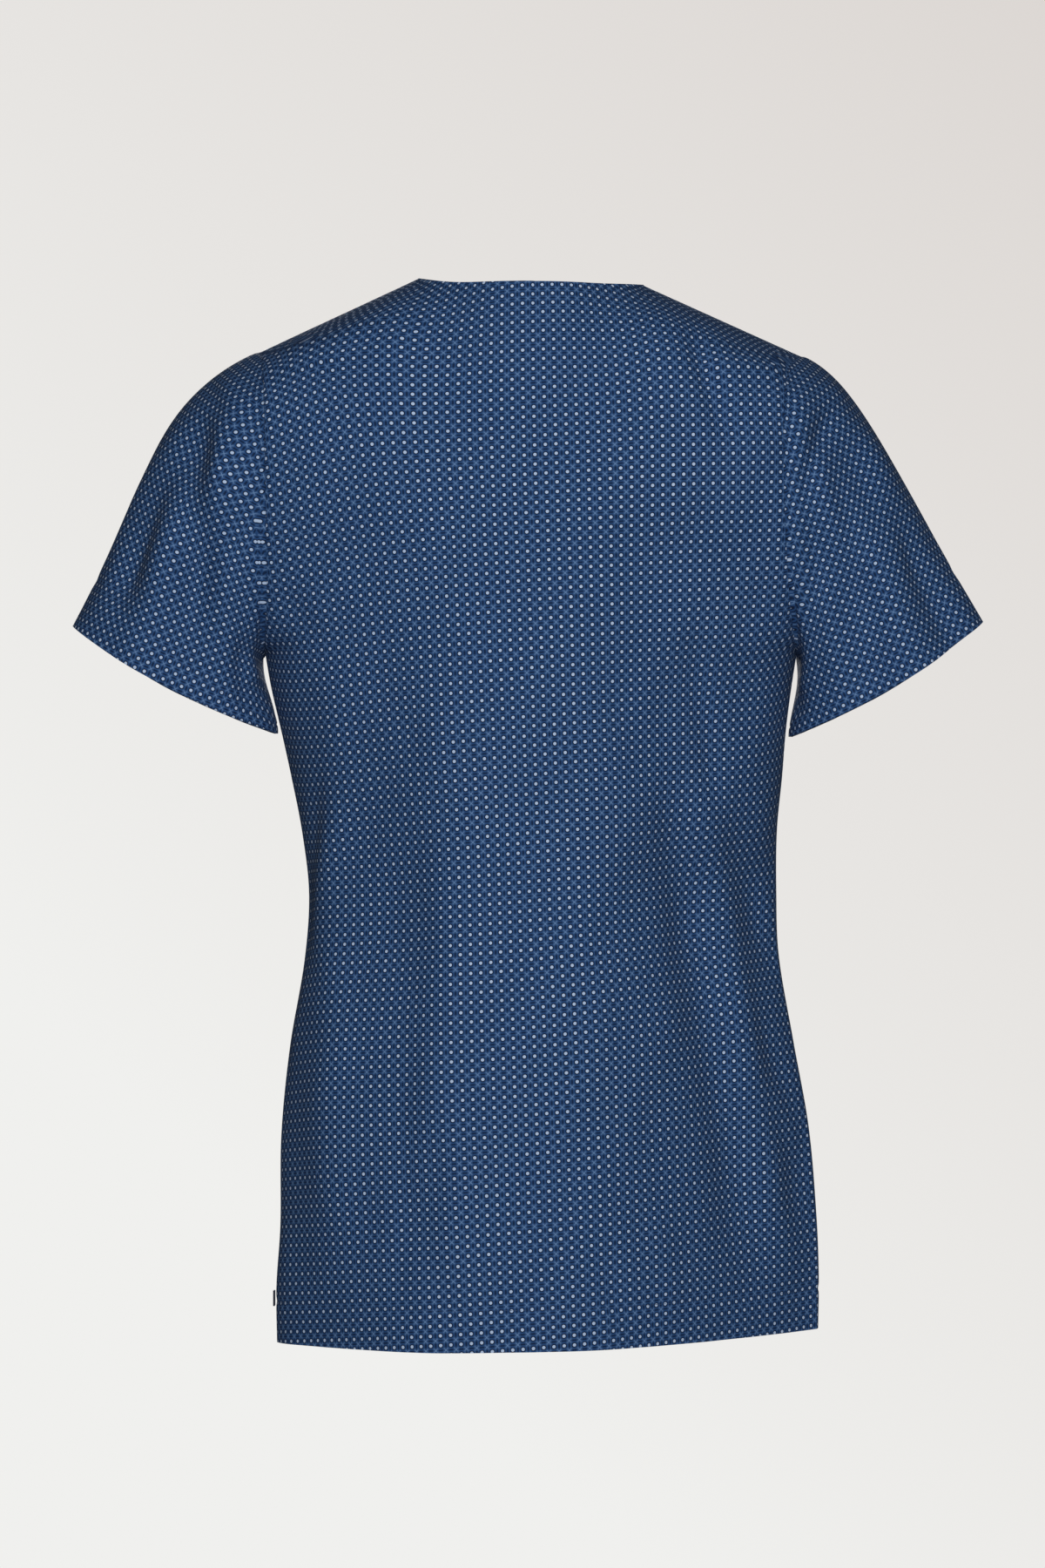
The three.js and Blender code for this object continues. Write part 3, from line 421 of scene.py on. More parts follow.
def crease_rise(x, z, points, width, height):
    """A soft crease along a bent line, widest and deepest in its middle."""
    p = np.array(points, float)
    best = np.full(x.shape, 1e9)
    place = np.zeros(x.shape)
    steps = np.linspace(0, 1, 25)
    a = mix(p[0], p[1], steps[:, None])
    b = mix(p[1], p[2], steps[:, None])
    curve = mix(a, b, steps[:, None])
    for k in range(len(curve) - 1):
        d = curve[k + 1] - curve[k]
        t = np.clip(((x - curve[k, 0]) * d[0] + (z - curve[k, 1]) * d[1]) / (d @ d), 0, 1)
        away = np.hypot(x - curve[k, 0] - t * d[0], z - curve[k, 1] - t * d[1])
        nearer = away < best
        best = np.where(nearer, away, best)
        place = np.where(nearer, (k + t) / (len(curve) - 1), place)
    body = ease(0, 0.35, place) * (1 - ease(0.6, 1, place))
    return height * body * np.exp(-(best / (width * (0.7 + 0.5 * body))) ** 2)


def ripple(x, z, seed, length):
    """Slow unevenness of hanging cloth, between -1 and 1."""
    rng = np.random.default_rng(seed)
    total = np.zeros_like(x)
    for _ in range(6):
        angle = rng.uniform(-0.5, 0.5)
        pitch = length * rng.uniform(0.7, 1.8)
        phase = rng.uniform(0, 6.28)
        bow = rng.uniform(0.4, 1.2) * np.sin(z / (length * 2.1) + rng.uniform(0, 6.28))
        total += np.sin(2 * math.pi * (x * math.cos(angle) + z * math.sin(angle)) / pitch + phase + bow)
    return total / 6


def pucker(along, seed, pitch):
    """Small gathers along a line of stitching, uneven in length and depth."""
    rng = np.random.default_rng(seed)
    total = np.zeros_like(along)
    for k in range(5):
        own = pitch * rng.uniform(0.75, 1.6)
        strength = 0.6 + 0.4 * np.sin(along / rng.uniform(23, 61) + rng.uniform(0, 6.28))
        total += strength * np.sin(2 * math.pi * along / own + rng.uniform(0, 6.28))
    return total / 5


def arc_lengths(grid, normals, axis, start_column, start_row):
    """Flat cloth coordinates of a grid: u across and v along the axis, both followed over the folds."""
    along_axis = unit(axis - (normals @ axis)[..., None] * normals)
    across = np.cross(along_axis, normals)
    rows, columns = grid.shape[:2]
    u, v = np.zeros((rows, columns)), np.zeros((rows, columns))

    def step(a, b):
        move = grid[b] - grid[a]
        du = (move * unit(across[a] + across[b])).sum(-1)
        dv = (move * unit(along_axis[a] + along_axis[b])).sum(-1)
        return du, dv

    for j in range(start_row + 1, rows):
        du, dv = step((j - 1, start_column), (j, start_column))
        u[j, start_column] = u[j - 1, start_column] + du
        v[j, start_column] = v[j - 1, start_column] + dv
    for j in range(start_row - 1, -1, -1):
        du, dv = step((j + 1, start_column), (j, start_column))
        u[j, start_column] = u[j + 1, start_column] + du
        v[j, start_column] = v[j + 1, start_column] + dv
    for i in range(start_column + 1, columns):
        du, dv = step((slice(None), i - 1), (slice(None), i))
        u[:, i], v[:, i] = u[:, i - 1] + du, v[:, i - 1] + dv
    for i in range(start_column - 1, -1, -1):
        du, dv = step((slice(None), i + 1), (slice(None), i))
        u[:, i], v[:, i] = u[:, i + 1] + du, v[:, i + 1] + dv
    return u, v


def relax(flat, solid, rounds):
    """Moves flat points until they lie as far apart as they do over the folds."""
    rest = []
    for a, b, weight in (
        (np.s_[:, :-1], np.s_[:, 1:], 1.0), (np.s_[:-1], np.s_[1:], 1.0),
        (np.s_[:-1, :-1], np.s_[1:, 1:], 0.5), (np.s_[:-1, 1:], np.s_[1:, :-1], 0.5),
    ):
        rest.append((a, b, np.linalg.norm(solid[b] - solid[a], axis=-1), weight))
    flat = flat.copy()
    for _ in range(rounds):
        move = np.zeros_like(flat)
        for a, b, length, weight in rest:
            d = flat[b] - flat[a]
            now = np.maximum(np.linalg.norm(d, axis=-1), 1e-6)
            push = d * (0.5 * weight * (now - length) / now)[..., None]
            move[a] += push
            move[b] -= push
        flat += move * RELAX_SHARE
    return flat


def cut_pattern(grid, normals, axis, start_column, start_row):
    """The flat cut of a piece, with the start column upright: coarse first, then every point."""
    u, v = arc_lengths(grid, normals, axis, start_column, start_row)
    first = np.stack([u, v], -1)
    # places of the rows and columns, as mean lengths along the cloth
    down_place = np.concatenate([[0], np.cumsum(np.linalg.norm(np.diff(grid, axis=0), axis=-1).mean(1))])
    side_place = np.concatenate([[0], np.cumsum(np.linalg.norm(np.diff(grid, axis=1), axis=-1).mean(0))])

    def spaced(places, count):
        return np.unique(np.searchsorted(places, np.linspace(0, places[-1] - 1e-9, count)))

    js, ks = spaced(down_place, COARSE_ROWS), spaced(side_place, COARSE_COLUMNS)
    coarse = relax(first[np.ix_(js, ks)], grid[np.ix_(js, ks)], RELAX_ROUNDS)
    change = coarse - first[np.ix_(js, ks)]
    flat = first.copy()
    for c in (0, 1):
        across = np.stack([np.interp(side_place, side_place[ks], line) for line in change[..., c]])
        flat[..., c] += np.stack([np.interp(down_place, down_place[js], line) for line in across.T], 1)
    upright = flat[-1, start_column] - flat[0, start_column]
    turn = math.atan2(upright[0], upright[1])
    if start_row:
        turn = math.atan2(-upright[0], -upright[1])
    flat = flat - flat[start_row, start_column]
    cos, sin = math.cos(turn), math.sin(turn)
    flat = np.stack([flat[..., 0] * cos - flat[..., 1] * sin, flat[..., 0] * sin + flat[..., 1] * cos], -1)
    return flat


ROWS = panel_rows()
COLUMNS = panel_columns()
FIRST_ARM = ROWS["first_arm"]
LAST_COLUMN = len(COLUMNS) - 1
NECK_FROM, NECK_TO = SHOULDER_COLUMNS, LAST_COLUMN - SHOULDER_COLUMNS
SIGNS = {"back": 1, "front": -1}


def make_panel(face):
    smooth = panel_points(face, COLUMNS, ROWS)
    sign = SIGNS[face]
    normals = grid_normals(smooth, False, sign)
    x, z = smooth[..., 0], smooth[..., 2]
    from_side = 1 - ease(0.9, 1, np.abs(COLUMNS))[None, :]
    drop = top_height(face, COLUMNS)[None, :] - z
    rise = long_fold_rise(face, x, z) * from_side * ease(0, FOLD_CLEAR, drop)
    fine = np.zeros_like(x)
    for name, points, width, height in CREASES:
        if name == face:
            fine += crease_rise(x, z, points, width, height)
    seed = 11 if face == "back" else 23
    above_hem = z - hem_height(COLUMNS)[None, :]
    fine += 0.9 * ripple(x, z, seed, 46) * ease(30, 140, drop) * (0.5 + 0.5 * ease(0, 120, above_hem))
    fine += 0.45 * ripple(x, z, seed + 1, 19) * ease(20, 90, drop)
    # puckers of the hem band, which lean
    band = np.exp(-((above_hem - 17) / 13) ** 2)
    fine += 0.85 * pucker(x + 0.5 * above_hem, seed + 2, 15) * band
    fine *= 1 - ease(0.93, 1, np.abs(COLUMNS))[None, :]
    grid = smooth + normals * (rise + fine)[..., None]
    uncreased = smooth + normals * rise[..., None]
    return {"grid": grid, "normals": grid_normals(grid, False, sign), "above_hem": above_hem, "drop": drop,
            "uncreased": uncreased}


panels = {face: make_panel(face) for face in ("back", "front")}


def armhole_loop(side):
    """Armhole points seen from the sleeve: up the back from the underarm, down the front."""
    column = 0 if side == "left" else LAST_COLUMN
    back = panels["back"]["grid"][FIRST_ARM:, column]
    front = panels["front"]["grid"][FIRST_ARM:, column]
    points = np.concatenate([back, front[-2:0:-1]])
    turns = []
    for half, (a, b) in enumerate([(0, ARM_STEPS), (ARM_STEPS, 2 * ARM_STEPS)]):
        line = points[np.arange(a, b + 1) % len(points)]
        lengths = run_along(line)
        turns.append(math.pi * (half + lengths[:-1] / lengths[-1]))
    return points, np.concatenate(turns)


def make_sleeve(side):
    size = SLEEVES[side]
    sign = size["sign"]
    start, turns = armhole_loop(side)
    tip = np.array([size["tip"][0], size["middle_y"], size["tip"][1]], float)
    inner = np.array([size["inner"][0], size["middle_y"], size["inner"][1]], float)
    middle = (tip + inner) / 2
    to_tip = unit(tip - inner)
    half_width = np.linalg.norm(tip - inner) / 2
    down = np.array([to_tip[2] * sign, 0, -to_tip[0] * sign])
    length = np.linalg.norm(middle - np.array([ARMHOLE_MIDDLE[0] * sign, 0, ARMHOLE_MIDDLE[1]]))
    shares = np.linspace(0, 1, SLEEVE_ROWS + 1)
    shares = np.sort(np.append(shares, [0.006, 0.0125, 1 - SLEEVE_HEM / length]))
    over = (1 - np.cos(turns))[:, None] / 2
    back = np.sin(turns)[:, None]
    depth = np.array([0, SLEEVE_HALF_DEPTH, 0])
    end = middle - to_tip * np.cos(turns)[:, None] * half_width + back * depth + down * SLEEVE_SAG * back ** 2
    leave_x = np.full_like(back, LEAVE_SIDE * sign)
    leave = np.concatenate([leave_x, LEAVE_BACK * back, LEAVE_DOWN + LEAVE_FACE * back ** 2], 1)
    first = start + unit(leave) * mix(UNDERARM_REACH, size["cap"], over)
    hang = np.array([0.0, 0, -1])
    arrive = unit(mix(down, hang, 1 - over))
    second = end - arrive * mix(UNDERARM_RUN, size["run"], over)
    t = shares[:, None, None]
    grid = (1 - t) ** 3 * start + 3 * (1 - t) ** 2 * t * first + 3 * (1 - t) * t ** 2 * second + t ** 3 * end
    away = unit(np.stack([-to_tip[0] * np.cos(turns), np.sin(turns), -to_tip[2] * np.cos(turns)], -1))
    degrees = np.degrees(turns)[None, :]
    share = shares[:, None]
    rise = np.zeros((len(shares), len(turns)))
    for name, turn, low, high, width, height in SLEEVE_FOLDS:
        if name == side:
            window = ease(low, low + 0.3, share) * (1 - ease(high, high + 0.15, share))
            rise += height * window * np.exp(-((degrees - turn) / width) ** 2)
    uncreased = grid + away[None] * rise[..., None]
    from_seam = ease(0, 0.07, share) * (0.6 + 0.4 * ease(0, 0.2, 1 - share))
    for name, face, points, width, height in SLEEVE_CREASES:
        if name == side:
            facing = ease(-0.05, 0.3, np.sin(turns) * SIGNS[face])[None, :]
            rise += crease_rise(grid[..., 0], grid[..., 2], points, width, height) * facing * from_seam
    # the cloth drops away beside the armhole seam and rises again to the sleeve's own face
    run = share * length
    valley = -SEAM_VALLEY * (1 - np.exp(-run / VALLEY_START)) * np.exp(-(run / VALLEY_END) ** 2)
    rise += valley * ease(0.12, 0.6, np.abs(np.sin(turns)))[None, :]
    around = turns[None, :] * SLEEVE_RADIUS * np.ones_like(share)
    lengthways = share * SLEEVE_LENGTH * np.ones_like(around)
    seed = 31 if side == "left" else 47
    rise += 0.6 * ripple(around, lengthways, seed, 34) * ease(0, 0.3, share)
    cap = np.exp(-share / 0.07) * ease(0.0, 0.03, share) * ease(60, 110, 180 - np.abs(degrees - 180))
    rise += 0.9 * pucker(around, seed + 2, 13) * cap
    band = np.exp(-(((1 - share) * length - 9) / 8) ** 2)
    rise += 0.35 * pucker(around + 0.5 * share * length, seed + 3, 13) * band
    grid = grid + away[None] * rise[..., None]
    return {"grid": grid, "normals": grid_normals(grid, True, sign), "uncreased": uncreased,
            "shares": shares, "length": length, "down": down, "turns": turns}


sleeves = {side: make_sleeve(side) for side in ("left", "right")}


# The flat cut of each piece, taken before its fine creases, which carries the print
for face, panel in panels.items():
    plain = panel["uncreased"]
    plain_normals = grid_normals(plain, False, SIGNS[face])
    flat = cut_pattern(plain, plain_normals, np.array([0.0, 0.0, 1.0]), len(COLUMNS) // 2, 0)
    if flat[0, 0, 0] < flat[0, -1, 0]:
        flat[..., 0] *= -1
    u, v = flat[..., 0], flat[..., 1]
    panel["print"] = np.stack([u - GRAIN_LEAN * v, v + ROW_RISE * u], -1)
for side, sleeve in sleeves.items():
    plain_normals = grid_normals(sleeve["uncreased"], True, SLEEVES[side]["sign"])
    grid = np.concatenate([sleeve["uncreased"], sleeve["uncreased"][:, :1]], 1)
    normals = np.concatenate([plain_normals, plain_normals[:, :1]], 1)
    sleeve["print"] = cut_pattern(grid, normals, -sleeve["down"], ARM_STEPS, len(sleeve["shares"]) - 1)


def share_seam(members):
    """Pieces that meet at a seam get one normal there, longer where the seam is a sharp fold."""
    total = unit(sum(m["normals"][at] * weight for m, at, weight in members))
    lean = np.clip(np.mean([(total * m["normals"][at]).sum(-1) for m, at, weight in members], axis=0), 0.6, 1)
    for m, at, weight in members:
        m["normals"][at] = total
        m["lengths"][at] = 1 / lean


for piece in [*panels.values(), *sleeves.values()]:
    piece["lengths"] = np.ones(piece["grid"].shape[:2])

back, front = panels["back"], panels["front"]
for column in (0, LAST_COLUMN):
    share_seam([(back, (slice(0, FIRST_ARM), column), 1), (front, (slice(0, FIRST_ARM), column), 1)])
for low, high in ((1, NECK_FROM + 1), (NECK_TO, LAST_COLUMN)):
    share_seam([(back, (-1, slice(low, high)), 1), (front, (-1, slice(low, high)), 1)])
for side, column in (("left", 0), ("right", LAST_COLUMN)):
    sleeve = sleeves[side]
    loop = len(sleeve["turns"])
    ups = np.arange(1, ARM_STEPS)
    share_seam([(back, (FIRST_ARM + ups, column), 1), (sleeve, (0, ups), 1)])
    share_seam([(front, (FIRST_ARM + ups, column), 1), (sleeve, (0, loop - ups), 1)])
    for row, k in ((FIRST_ARM, 0), (FIRST_ARM + ARM_STEPS, ARM_STEPS)):
        share_seam([(back, (row, column), 1), (front, (row, column), 1), (sleeve, (0, k), 2)])

# Cloth sinks a little into each seam
for panel in panels.values():
    steps = run_along(panel["grid"][FIRST_ARM // 2])
    near = np.minimum(steps, steps[-1] - steps)
    panel["sink"] = SEAM_SINK * np.exp(-(near / SEAM_REACH) ** 2)[None, :] * np.ones((len(panel["grid"]), 1))
    on_shoulder = (np.abs(COLUMNS) >= NECK_SHARE).astype(float)[None, :]
    shoulder_sink = SEAM_SINK * on_shoulder * np.exp(-(panel["drop"] / SEAM_REACH) ** 2)
    panel["sink"] = np.maximum(panel["sink"], shoulder_sink)
    panel["sink"] += BODY_HEM_SINK * np.exp(-((panel["above_hem"] - BODY_HEM) / BODY_HEM_REACH) ** 2)
for sleeve in sleeves.values():
    run = sleeve["shares"] * sleeve["length"]
    sink = SEAM_SINK * np.exp(-(run / SEAM_REACH) ** 2)
    sink += SLEEVE_HEM_SINK * np.exp(-((sleeve["length"] - run - SLEEVE_HEM) / SLEEVE_HEM_REACH) ** 2)
    sleeve["sink"] = sink[:, None] * np.ones((1, len(sleeve["turns"])))

# The turned cloth of the hems and the neck edge thickens the inside
for panel in panels.values():
    inside = panel["above_hem"] <= BODY_HEM + 0.01
    neck_edge = (np.abs(COLUMNS) <= NECK_SHARE)[None, :] & (panel["drop"] < NECK_TURN)
    panel["turned"] = np.where(inside | neck_edge, TURNED, 0.0)
for sleeve in sleeves.values():
    # one more column closes the loop, with flat coordinates of its own
    for key in ("grid", "normals", "lengths", "sink"):
        sleeve[key] = np.concatenate([sleeve[key], sleeve[key][:, :1]], 1)
    inside = (1 - sleeve["shares"]) * sleeve["length"] <= SLEEVE_HEM + 0.01
    sleeve["turned"] = np.where(inside, TURNED, 0.0)[:, None] * np.ones((1, sleeve["grid"].shape[1]))


def add_object(name, data):
    obj = bpy.data.objects.new(name, data)
    bpy.context.scene.collection.objects.link(obj)
    return obj


def smooth_object(name, points, faces):
    """Smooth-shaded object from points in millimetres."""
    mesh = bpy.data.meshes.new(name)
    mesh.from_pydata((np.array(points) * MM).tolist(), [], faces)
    mesh.polygons.foreach_set("use_smooth", np.ones(len(faces), bool))
    mesh.update()
    return add_object(name, mesh)


def cloth_object(name, piece, closed, outward_up):
    """Thin closed shell on a piece's middle surface, with the print's flat coordinates and a baking map."""
    grid, normals = piece["grid"], piece["normals"]
    rows, columns = grid.shape[:2]
    outer_off = (WALL_HALF - piece["sink"]) * piece["lengths"]
    inner_off = (WALL_HALF - CLOTH - piece["turned"] - piece["sink"] * 0.5) * piece["lengths"]
    outer = grid + normals * outer_off[..., None]
    inner = grid + normals * inner_off[..., None]
    used = columns - 1 if closed else columns
    points = np.concatenate([outer[:, :used].reshape(-1, 3), inner[:, :used].reshape(-1, 3)]) * MM
    count = rows * used

    def at(side, j, i):
        return side * count + j * used + (i % used)

    j, i = np.meshgrid(np.arange(rows - 1), np.arange(columns - 1), indexing="ij")
    j, i = j.ravel(), i.ravel()
    faces, corners, sides = [], [], []
    for side in (0, 1):
        quad = [(j, i), (j, i + 1), (j + 1, i + 1), (j + 1, i)]
        if side == 1:
            quad = quad[::-1]
        faces.append(np.stack([at(side, a, b) for a, b in quad], 1))
        corners.append(np.stack([np.stack([a, b], 1) for a, b in quad], 1))
        sides.append(np.full((len(j), 4), side))

    def strip(ja, ia, jb, ib):
        # joins outer and inner along an edge
        faces.append(np.stack([at(0, ja, ia), at(1, ja, ia), at(1, jb, ib), at(0, jb, ib)], 1))
        pairs = [(ja, ia), (ja, ia), (jb, ib), (jb, ib)]
        corners.append(np.stack([np.stack(pair, 1) for pair in pairs], 1))
        sides.append(np.tile([2, 3, 3, 2], (len(ja), 1)))

    c = np.arange(columns - 1)
    strip(np.zeros_like(c), c + 1, np.zeros_like(c), c)
    strip(np.full_like(c, rows - 1), c, np.full_like(c, rows - 1), c + 1)
    if not closed:
        r = np.arange(rows - 1)
        strip(r, np.zeros_like(r), r + 1, np.zeros_like(r))
        strip(r + 1, np.full_like(r, columns - 1), r, np.full_like(r, columns - 1))
    faces = np.concatenate(faces)
    corners = np.concatenate(corners)
    sides = np.concatenate(sides)
    flip = not outward_up
    if flip:
        faces, corners, sides = faces[:, ::-1], corners[:, ::-1], sides[:, ::-1]
    mesh = bpy.data.meshes.new(name)
    mesh.from_pydata(points.tolist(), [], faces.tolist())
    flat = piece["print"][corners[..., 0], corners[..., 1]].reshape(-1, 2) * MM
    layer = mesh.uv_layers.new(name="Flat")
    layer.data.foreach_set("uv", flat.ravel())
    # baking map: outer face above, inner face below it, edge strips in a narrow band at the bottom
    bake = np.empty(corners.shape[:2] + (2,))
    share_u = corners[..., 1] / (columns - 1)
    share_v = corners[..., 0] / (rows - 1)
    bake[..., 0] = 0.004 + 0.992 * share_u
    bake[..., 1] = np.where(sides == 0, 0.34 + 0.655 * share_v, 0.04 + 0.28 * share_v)
    quads = len(j) * 2
    edge = np.arange(len(faces) - quads)
    lane = edge % 2
    place = (edge // 2) / max(1, (len(edge) // 2))
    order = [(0, 0), (0, 1), (1, 1), (1, 0)]
    if flip:
        order = order[::-1]
    for k, (du, dv) in enumerate(order):
        bake[quads:, k, 0] = 0.004 + 0.99 * (place + du / max(1, len(edge) // 2))
        bake[quads:, k, 1] = 0.004 + 0.015 * lane + 0.012 * dv
    layer = mesh.uv_layers.new(name="OFBake")
    layer.data.foreach_set("uv", bake.reshape(-1, 2).ravel())
    mesh.uv_layers["Flat"].active = True
    mesh.uv_layers["Flat"].active_render = True
    mesh.polygons.foreach_set("use_smooth", np.ones(len(faces), bool))
    inner_face = (sides == 1).all(1)
    mesh.polygons.foreach_set("material_index", inner_face.astype(np.int32))
    mesh.update()
    mesh.validate()
    return add_object(name, mesh)


def stitch_object(name, lines, length, gap, thick):
    """Row of lockstitches along each line of (points, normals), as small pointed beads of thread."""
    points, faces = [], []
    ring = [(math.cos(a), math.sin(a)) for a in np.linspace(0, 2 * math.pi, 6)[:-1]]
    for line, normals in lines:
        steps = run_along(line)
        starts = np.arange(gap, steps[-1] - length - gap, length + gap)
        for s in starts:
            ends = [np.array([np.interp(x, steps, line[:, k]) for k in range(3)]) for x in (s, s + length)]
            n = unit(np.array([np.interp(s + length / 2, steps, normals[:, k]) for k in range(3)]))
            along = unit(ends[1] - ends[0])
            across = unit(np.cross(n, along))
            first = len(points)
            points.append(ends[0] - n * thick * 0.4)
            for share, fat in ((0.12, 0.75), (0.5, 1.0), (0.88, 0.75)):
                centre = mix(ends[0], ends[1], share) + n * thick * 0.25 * fat
                for a, b in ring:
                    points.append(centre + across * a * thick / 2 * fat + n * b * thick / 2 * fat)
            points.append(ends[1] - n * thick * 0.4)
            last = len(points) - 1
            for k in range(5):
                m = (k + 1) % 5
                faces.append((first, first + 1 + m, first + 1 + k))
                for r in (0, 5):
                    faces.append((first + 1 + r + k, first + 1 + r + m, first + 6 + r + m, first + 6 + r + k))
                faces.append((last, first + 11 + k, first + 11 + m))
    return smooth_object(name, points, faces)


# Materials
class Nodes:
    """Short names for building a material's node tree."""

    def __init__(self, name):
        self.material = bpy.data.materials.new(name)
        self.material.use_nodes = True
        self.tree = self.material.node_tree
        self.tree.nodes.clear()
        self.out = self.tree.nodes.new("ShaderNodeOutputMaterial")
        self.shader = self.tree.nodes.new("ShaderNodeBsdfPrincipled")
        self.tree.links.new(self.shader.outputs[0], self.out.inputs[0])

    def put(self, socket, value):
        if isinstance(value, bpy.types.NodeSocket):
            self.tree.links.new(value, socket)
        else:
            socket.default_value = value

    def math(self, operation, a, b=0.0, c=0.0):
        node = self.tree.nodes.new("ShaderNodeMath")
        node.operation = operation
        for socket, value in zip(node.inputs, (a, b, c)):
            self.put(socket, value)
        return node.outputs[0]

    def step(self, value, low, high):
        """1 below low, fading to 0 at high."""
        node = self.tree.nodes.new("ShaderNodeMapRange")
        node.interpolation_type = "SMOOTHSTEP"
        self.put(node.inputs["Value"], value)
        self.put(node.inputs["From Min"], low)
        self.put(node.inputs["From Max"], high)
        node.inputs["To Min"].default_value = 1.0
        node.inputs["To Max"].default_value = 0.0
        return node.outputs["Result"]

    def blend(self, share, a, b):
        node = self.tree.nodes.new("ShaderNodeMix")
        node.data_type = "RGBA"
        self.put(node.inputs["Factor"], share)
        self.put(node.inputs["A"], a)
        self.put(node.inputs["B"], b)
        return node.outputs["Result"]

    def noise(self, vector, scale, detail=2.0):
        node = self.tree.nodes.new("ShaderNodeTexNoise")
        self.put(node.inputs["Vector"], vector)
        node.inputs["Scale"].default_value = scale
        node.inputs["Detail"].default_value = detail
        return node.outputs["Fac"]

    def bump(self, height, strength, distance):
        node = self.tree.nodes.new("ShaderNodeBump")
        node.inputs["Strength"].default_value = strength
        node.inputs["Distance"].default_value = distance
        self.put(node.inputs["Height"], height)
        self.put(self.shader.inputs["Normal"], node.outputs[0])


def colour(r, g, b):
    """sRGB 0 to 255 as scene-linear."""
    def one(c):
        c = c / 255
        return c / 12.92 if c <= 0.04045 else ((c + 0.055) / 1.055) ** 2.4
    return (one(r), one(g), one(b), 1.0)


# Print, in millimetres of flat cloth, and weave, in metres
CELL_ACROSS = 6.54
CELL_ALONG = 6.2
DOT_RADIUS = 1.05
RING_RADIUS = 1.65
WEAVE_PITCH = 0.00042


def print_material(name, shift, wrong_side):
    """Cotton with a small print: a pale dot with a dark ring in each cell, and a four-petalled
    star where the corners of four cells meet."""
    n = Nodes(name)

    def offset(cells, size):
        return n.math("MULTIPLY", n.math("SUBTRACT", n.math("FRACT", cells), 0.5), size)

    def distance(a, b):
        return n.math("SQRT", n.math("ADD", n.math("MULTIPLY", a, a), n.math("MULTIPLY", b, b)))

    uv = n.tree.nodes.new("ShaderNodeUVMap")
    uv.uv_map = "Flat"
    split = n.tree.nodes.new("ShaderNodeSeparateXYZ")
    n.put(split.inputs[0], uv.outputs[0])
    across = n.math("MULTIPLY_ADD", split.outputs[0], 1000 / CELL_ACROSS, shift[0])
    along = n.math("MULTIPLY_ADD", split.outputs[1], 1000 / CELL_ALONG, shift[1])
    # offsets from the cell's middle, and from its nearest corner, in millimetres
    px, py = offset(across, CELL_ACROSS), offset(along, CELL_ALONG)
    qx = offset(n.math("ADD", across, 0.5), CELL_ACROSS)
    qy = offset(n.math("ADD", along, 0.5), CELL_ALONG)
    ax, ay = n.math("ABSOLUTE", px), n.math("ABSOLUTE", py)
    bx, by = n.math("ABSOLUTE", qx), n.math("ABSOLUTE", qy)
    from_dot, from_star = distance(px, py), distance(qx, qy)
    dot = n.step(from_dot, DOT_RADIUS - 0.14, DOT_RADIUS + 0.14)
    ring = n.step(from_dot, RING_RADIUS - 0.15, RING_RADIUS + 0.25)
    # star: thin along both diagonals, fading out from its middle
    off_diagonal = n.math("MULTIPLY", n.math("ABSOLUTE", n.math("SUBTRACT", bx, by)), 0.707)
    petal_half = n.math("MAXIMUM", n.math("MULTIPLY_ADD", from_star, -0.16, 0.46), 0.02)
    star = n.step(n.math("DIVIDE", off_diagonal, petal_half), 0.5, 1.3)
    star = n.math("MULTIPLY", star, n.step(from_star, 1.1, 2.5))
    # lobes: pale arcs that curl round the star's petals
    lobe = n.step(n.math("ABSOLUTE", n.math("SUBTRACT", from_star, 1.75)), 0.2, 0.6)
    lobe = n.math("MULTIPLY", lobe, n.step(off_diagonal, 0.5, 1.2))
    # dark bars halfway between neighbouring dots
    bar_across = n.math("MULTIPLY", n.step(bx, 0.35, 0.85), n.step(ay, 1.0, 1.9))
    bar_along = n.math("MULTIPLY", n.step(by, 0.3, 0.75), n.step(ax, 1.1, 2.0))
    bars = n.math("MAXIMUM", bar_across, bar_along)
    pale = 0.55 if wrong_side else 0.0

    def tint(r, g, b):
        return colour(*(mix(c, w, pale) for c, w in zip((r, g, b), (92, 112, 146))))

    ground = n.blend(n.noise(uv.outputs[0], 900, 1.0), tint(27, 60, 106), tint(48, 84, 134))
    base = n.blend(bars, ground, tint(17, 38, 70))
    base = n.blend(lobe, base, tint(62, 94, 138))
    base = n.blend(star, base, tint(100, 132, 174))
    base = n.blend(ring, base, tint(10, 27, 54))
    base = n.blend(dot, base, tint(184, 204, 234))
    # soft unevenness of dye and wash
    wash = n.noise(uv.outputs[0], 26, 4.0)
    base = n.blend(n.math("MULTIPLY_ADD", wash, 0.16, -0.03), base, tint(26, 48, 82))
    n.put(n.shader.inputs["Base Color"], base)
    n.put(n.shader.inputs["Roughness"], n.math("MULTIPLY_ADD", wash, 0.1, 0.78))
    n.shader.inputs["Specular IOR Level"].default_value = 0.14
    n.shader.inputs["Sheen Weight"].default_value = 0.015
    n.shader.inputs["Sheen Roughness"].default_value = 0.5
    n.shader.inputs["Sheen Tint"].default_value = (0.75, 0.82, 0.95, 1.0)
    # plain weave
    weave_across = n.math("SINE", n.math("MULTIPLY", split.outputs[0], 2 * math.pi / WEAVE_PITCH))
    weave_along = n.math("SINE", n.math("MULTIPLY", split.outputs[1], 2 * math.pi / WEAVE_PITCH))
    slub = n.noise(uv.outputs[0], 420, 3.0)
    height = n.math("ADD", n.math("MULTIPLY", weave_across, weave_along), n.math("MULTIPLY", slub, 1.4))
    n.bump(height, 0.35, 0.00006)
    return n.material


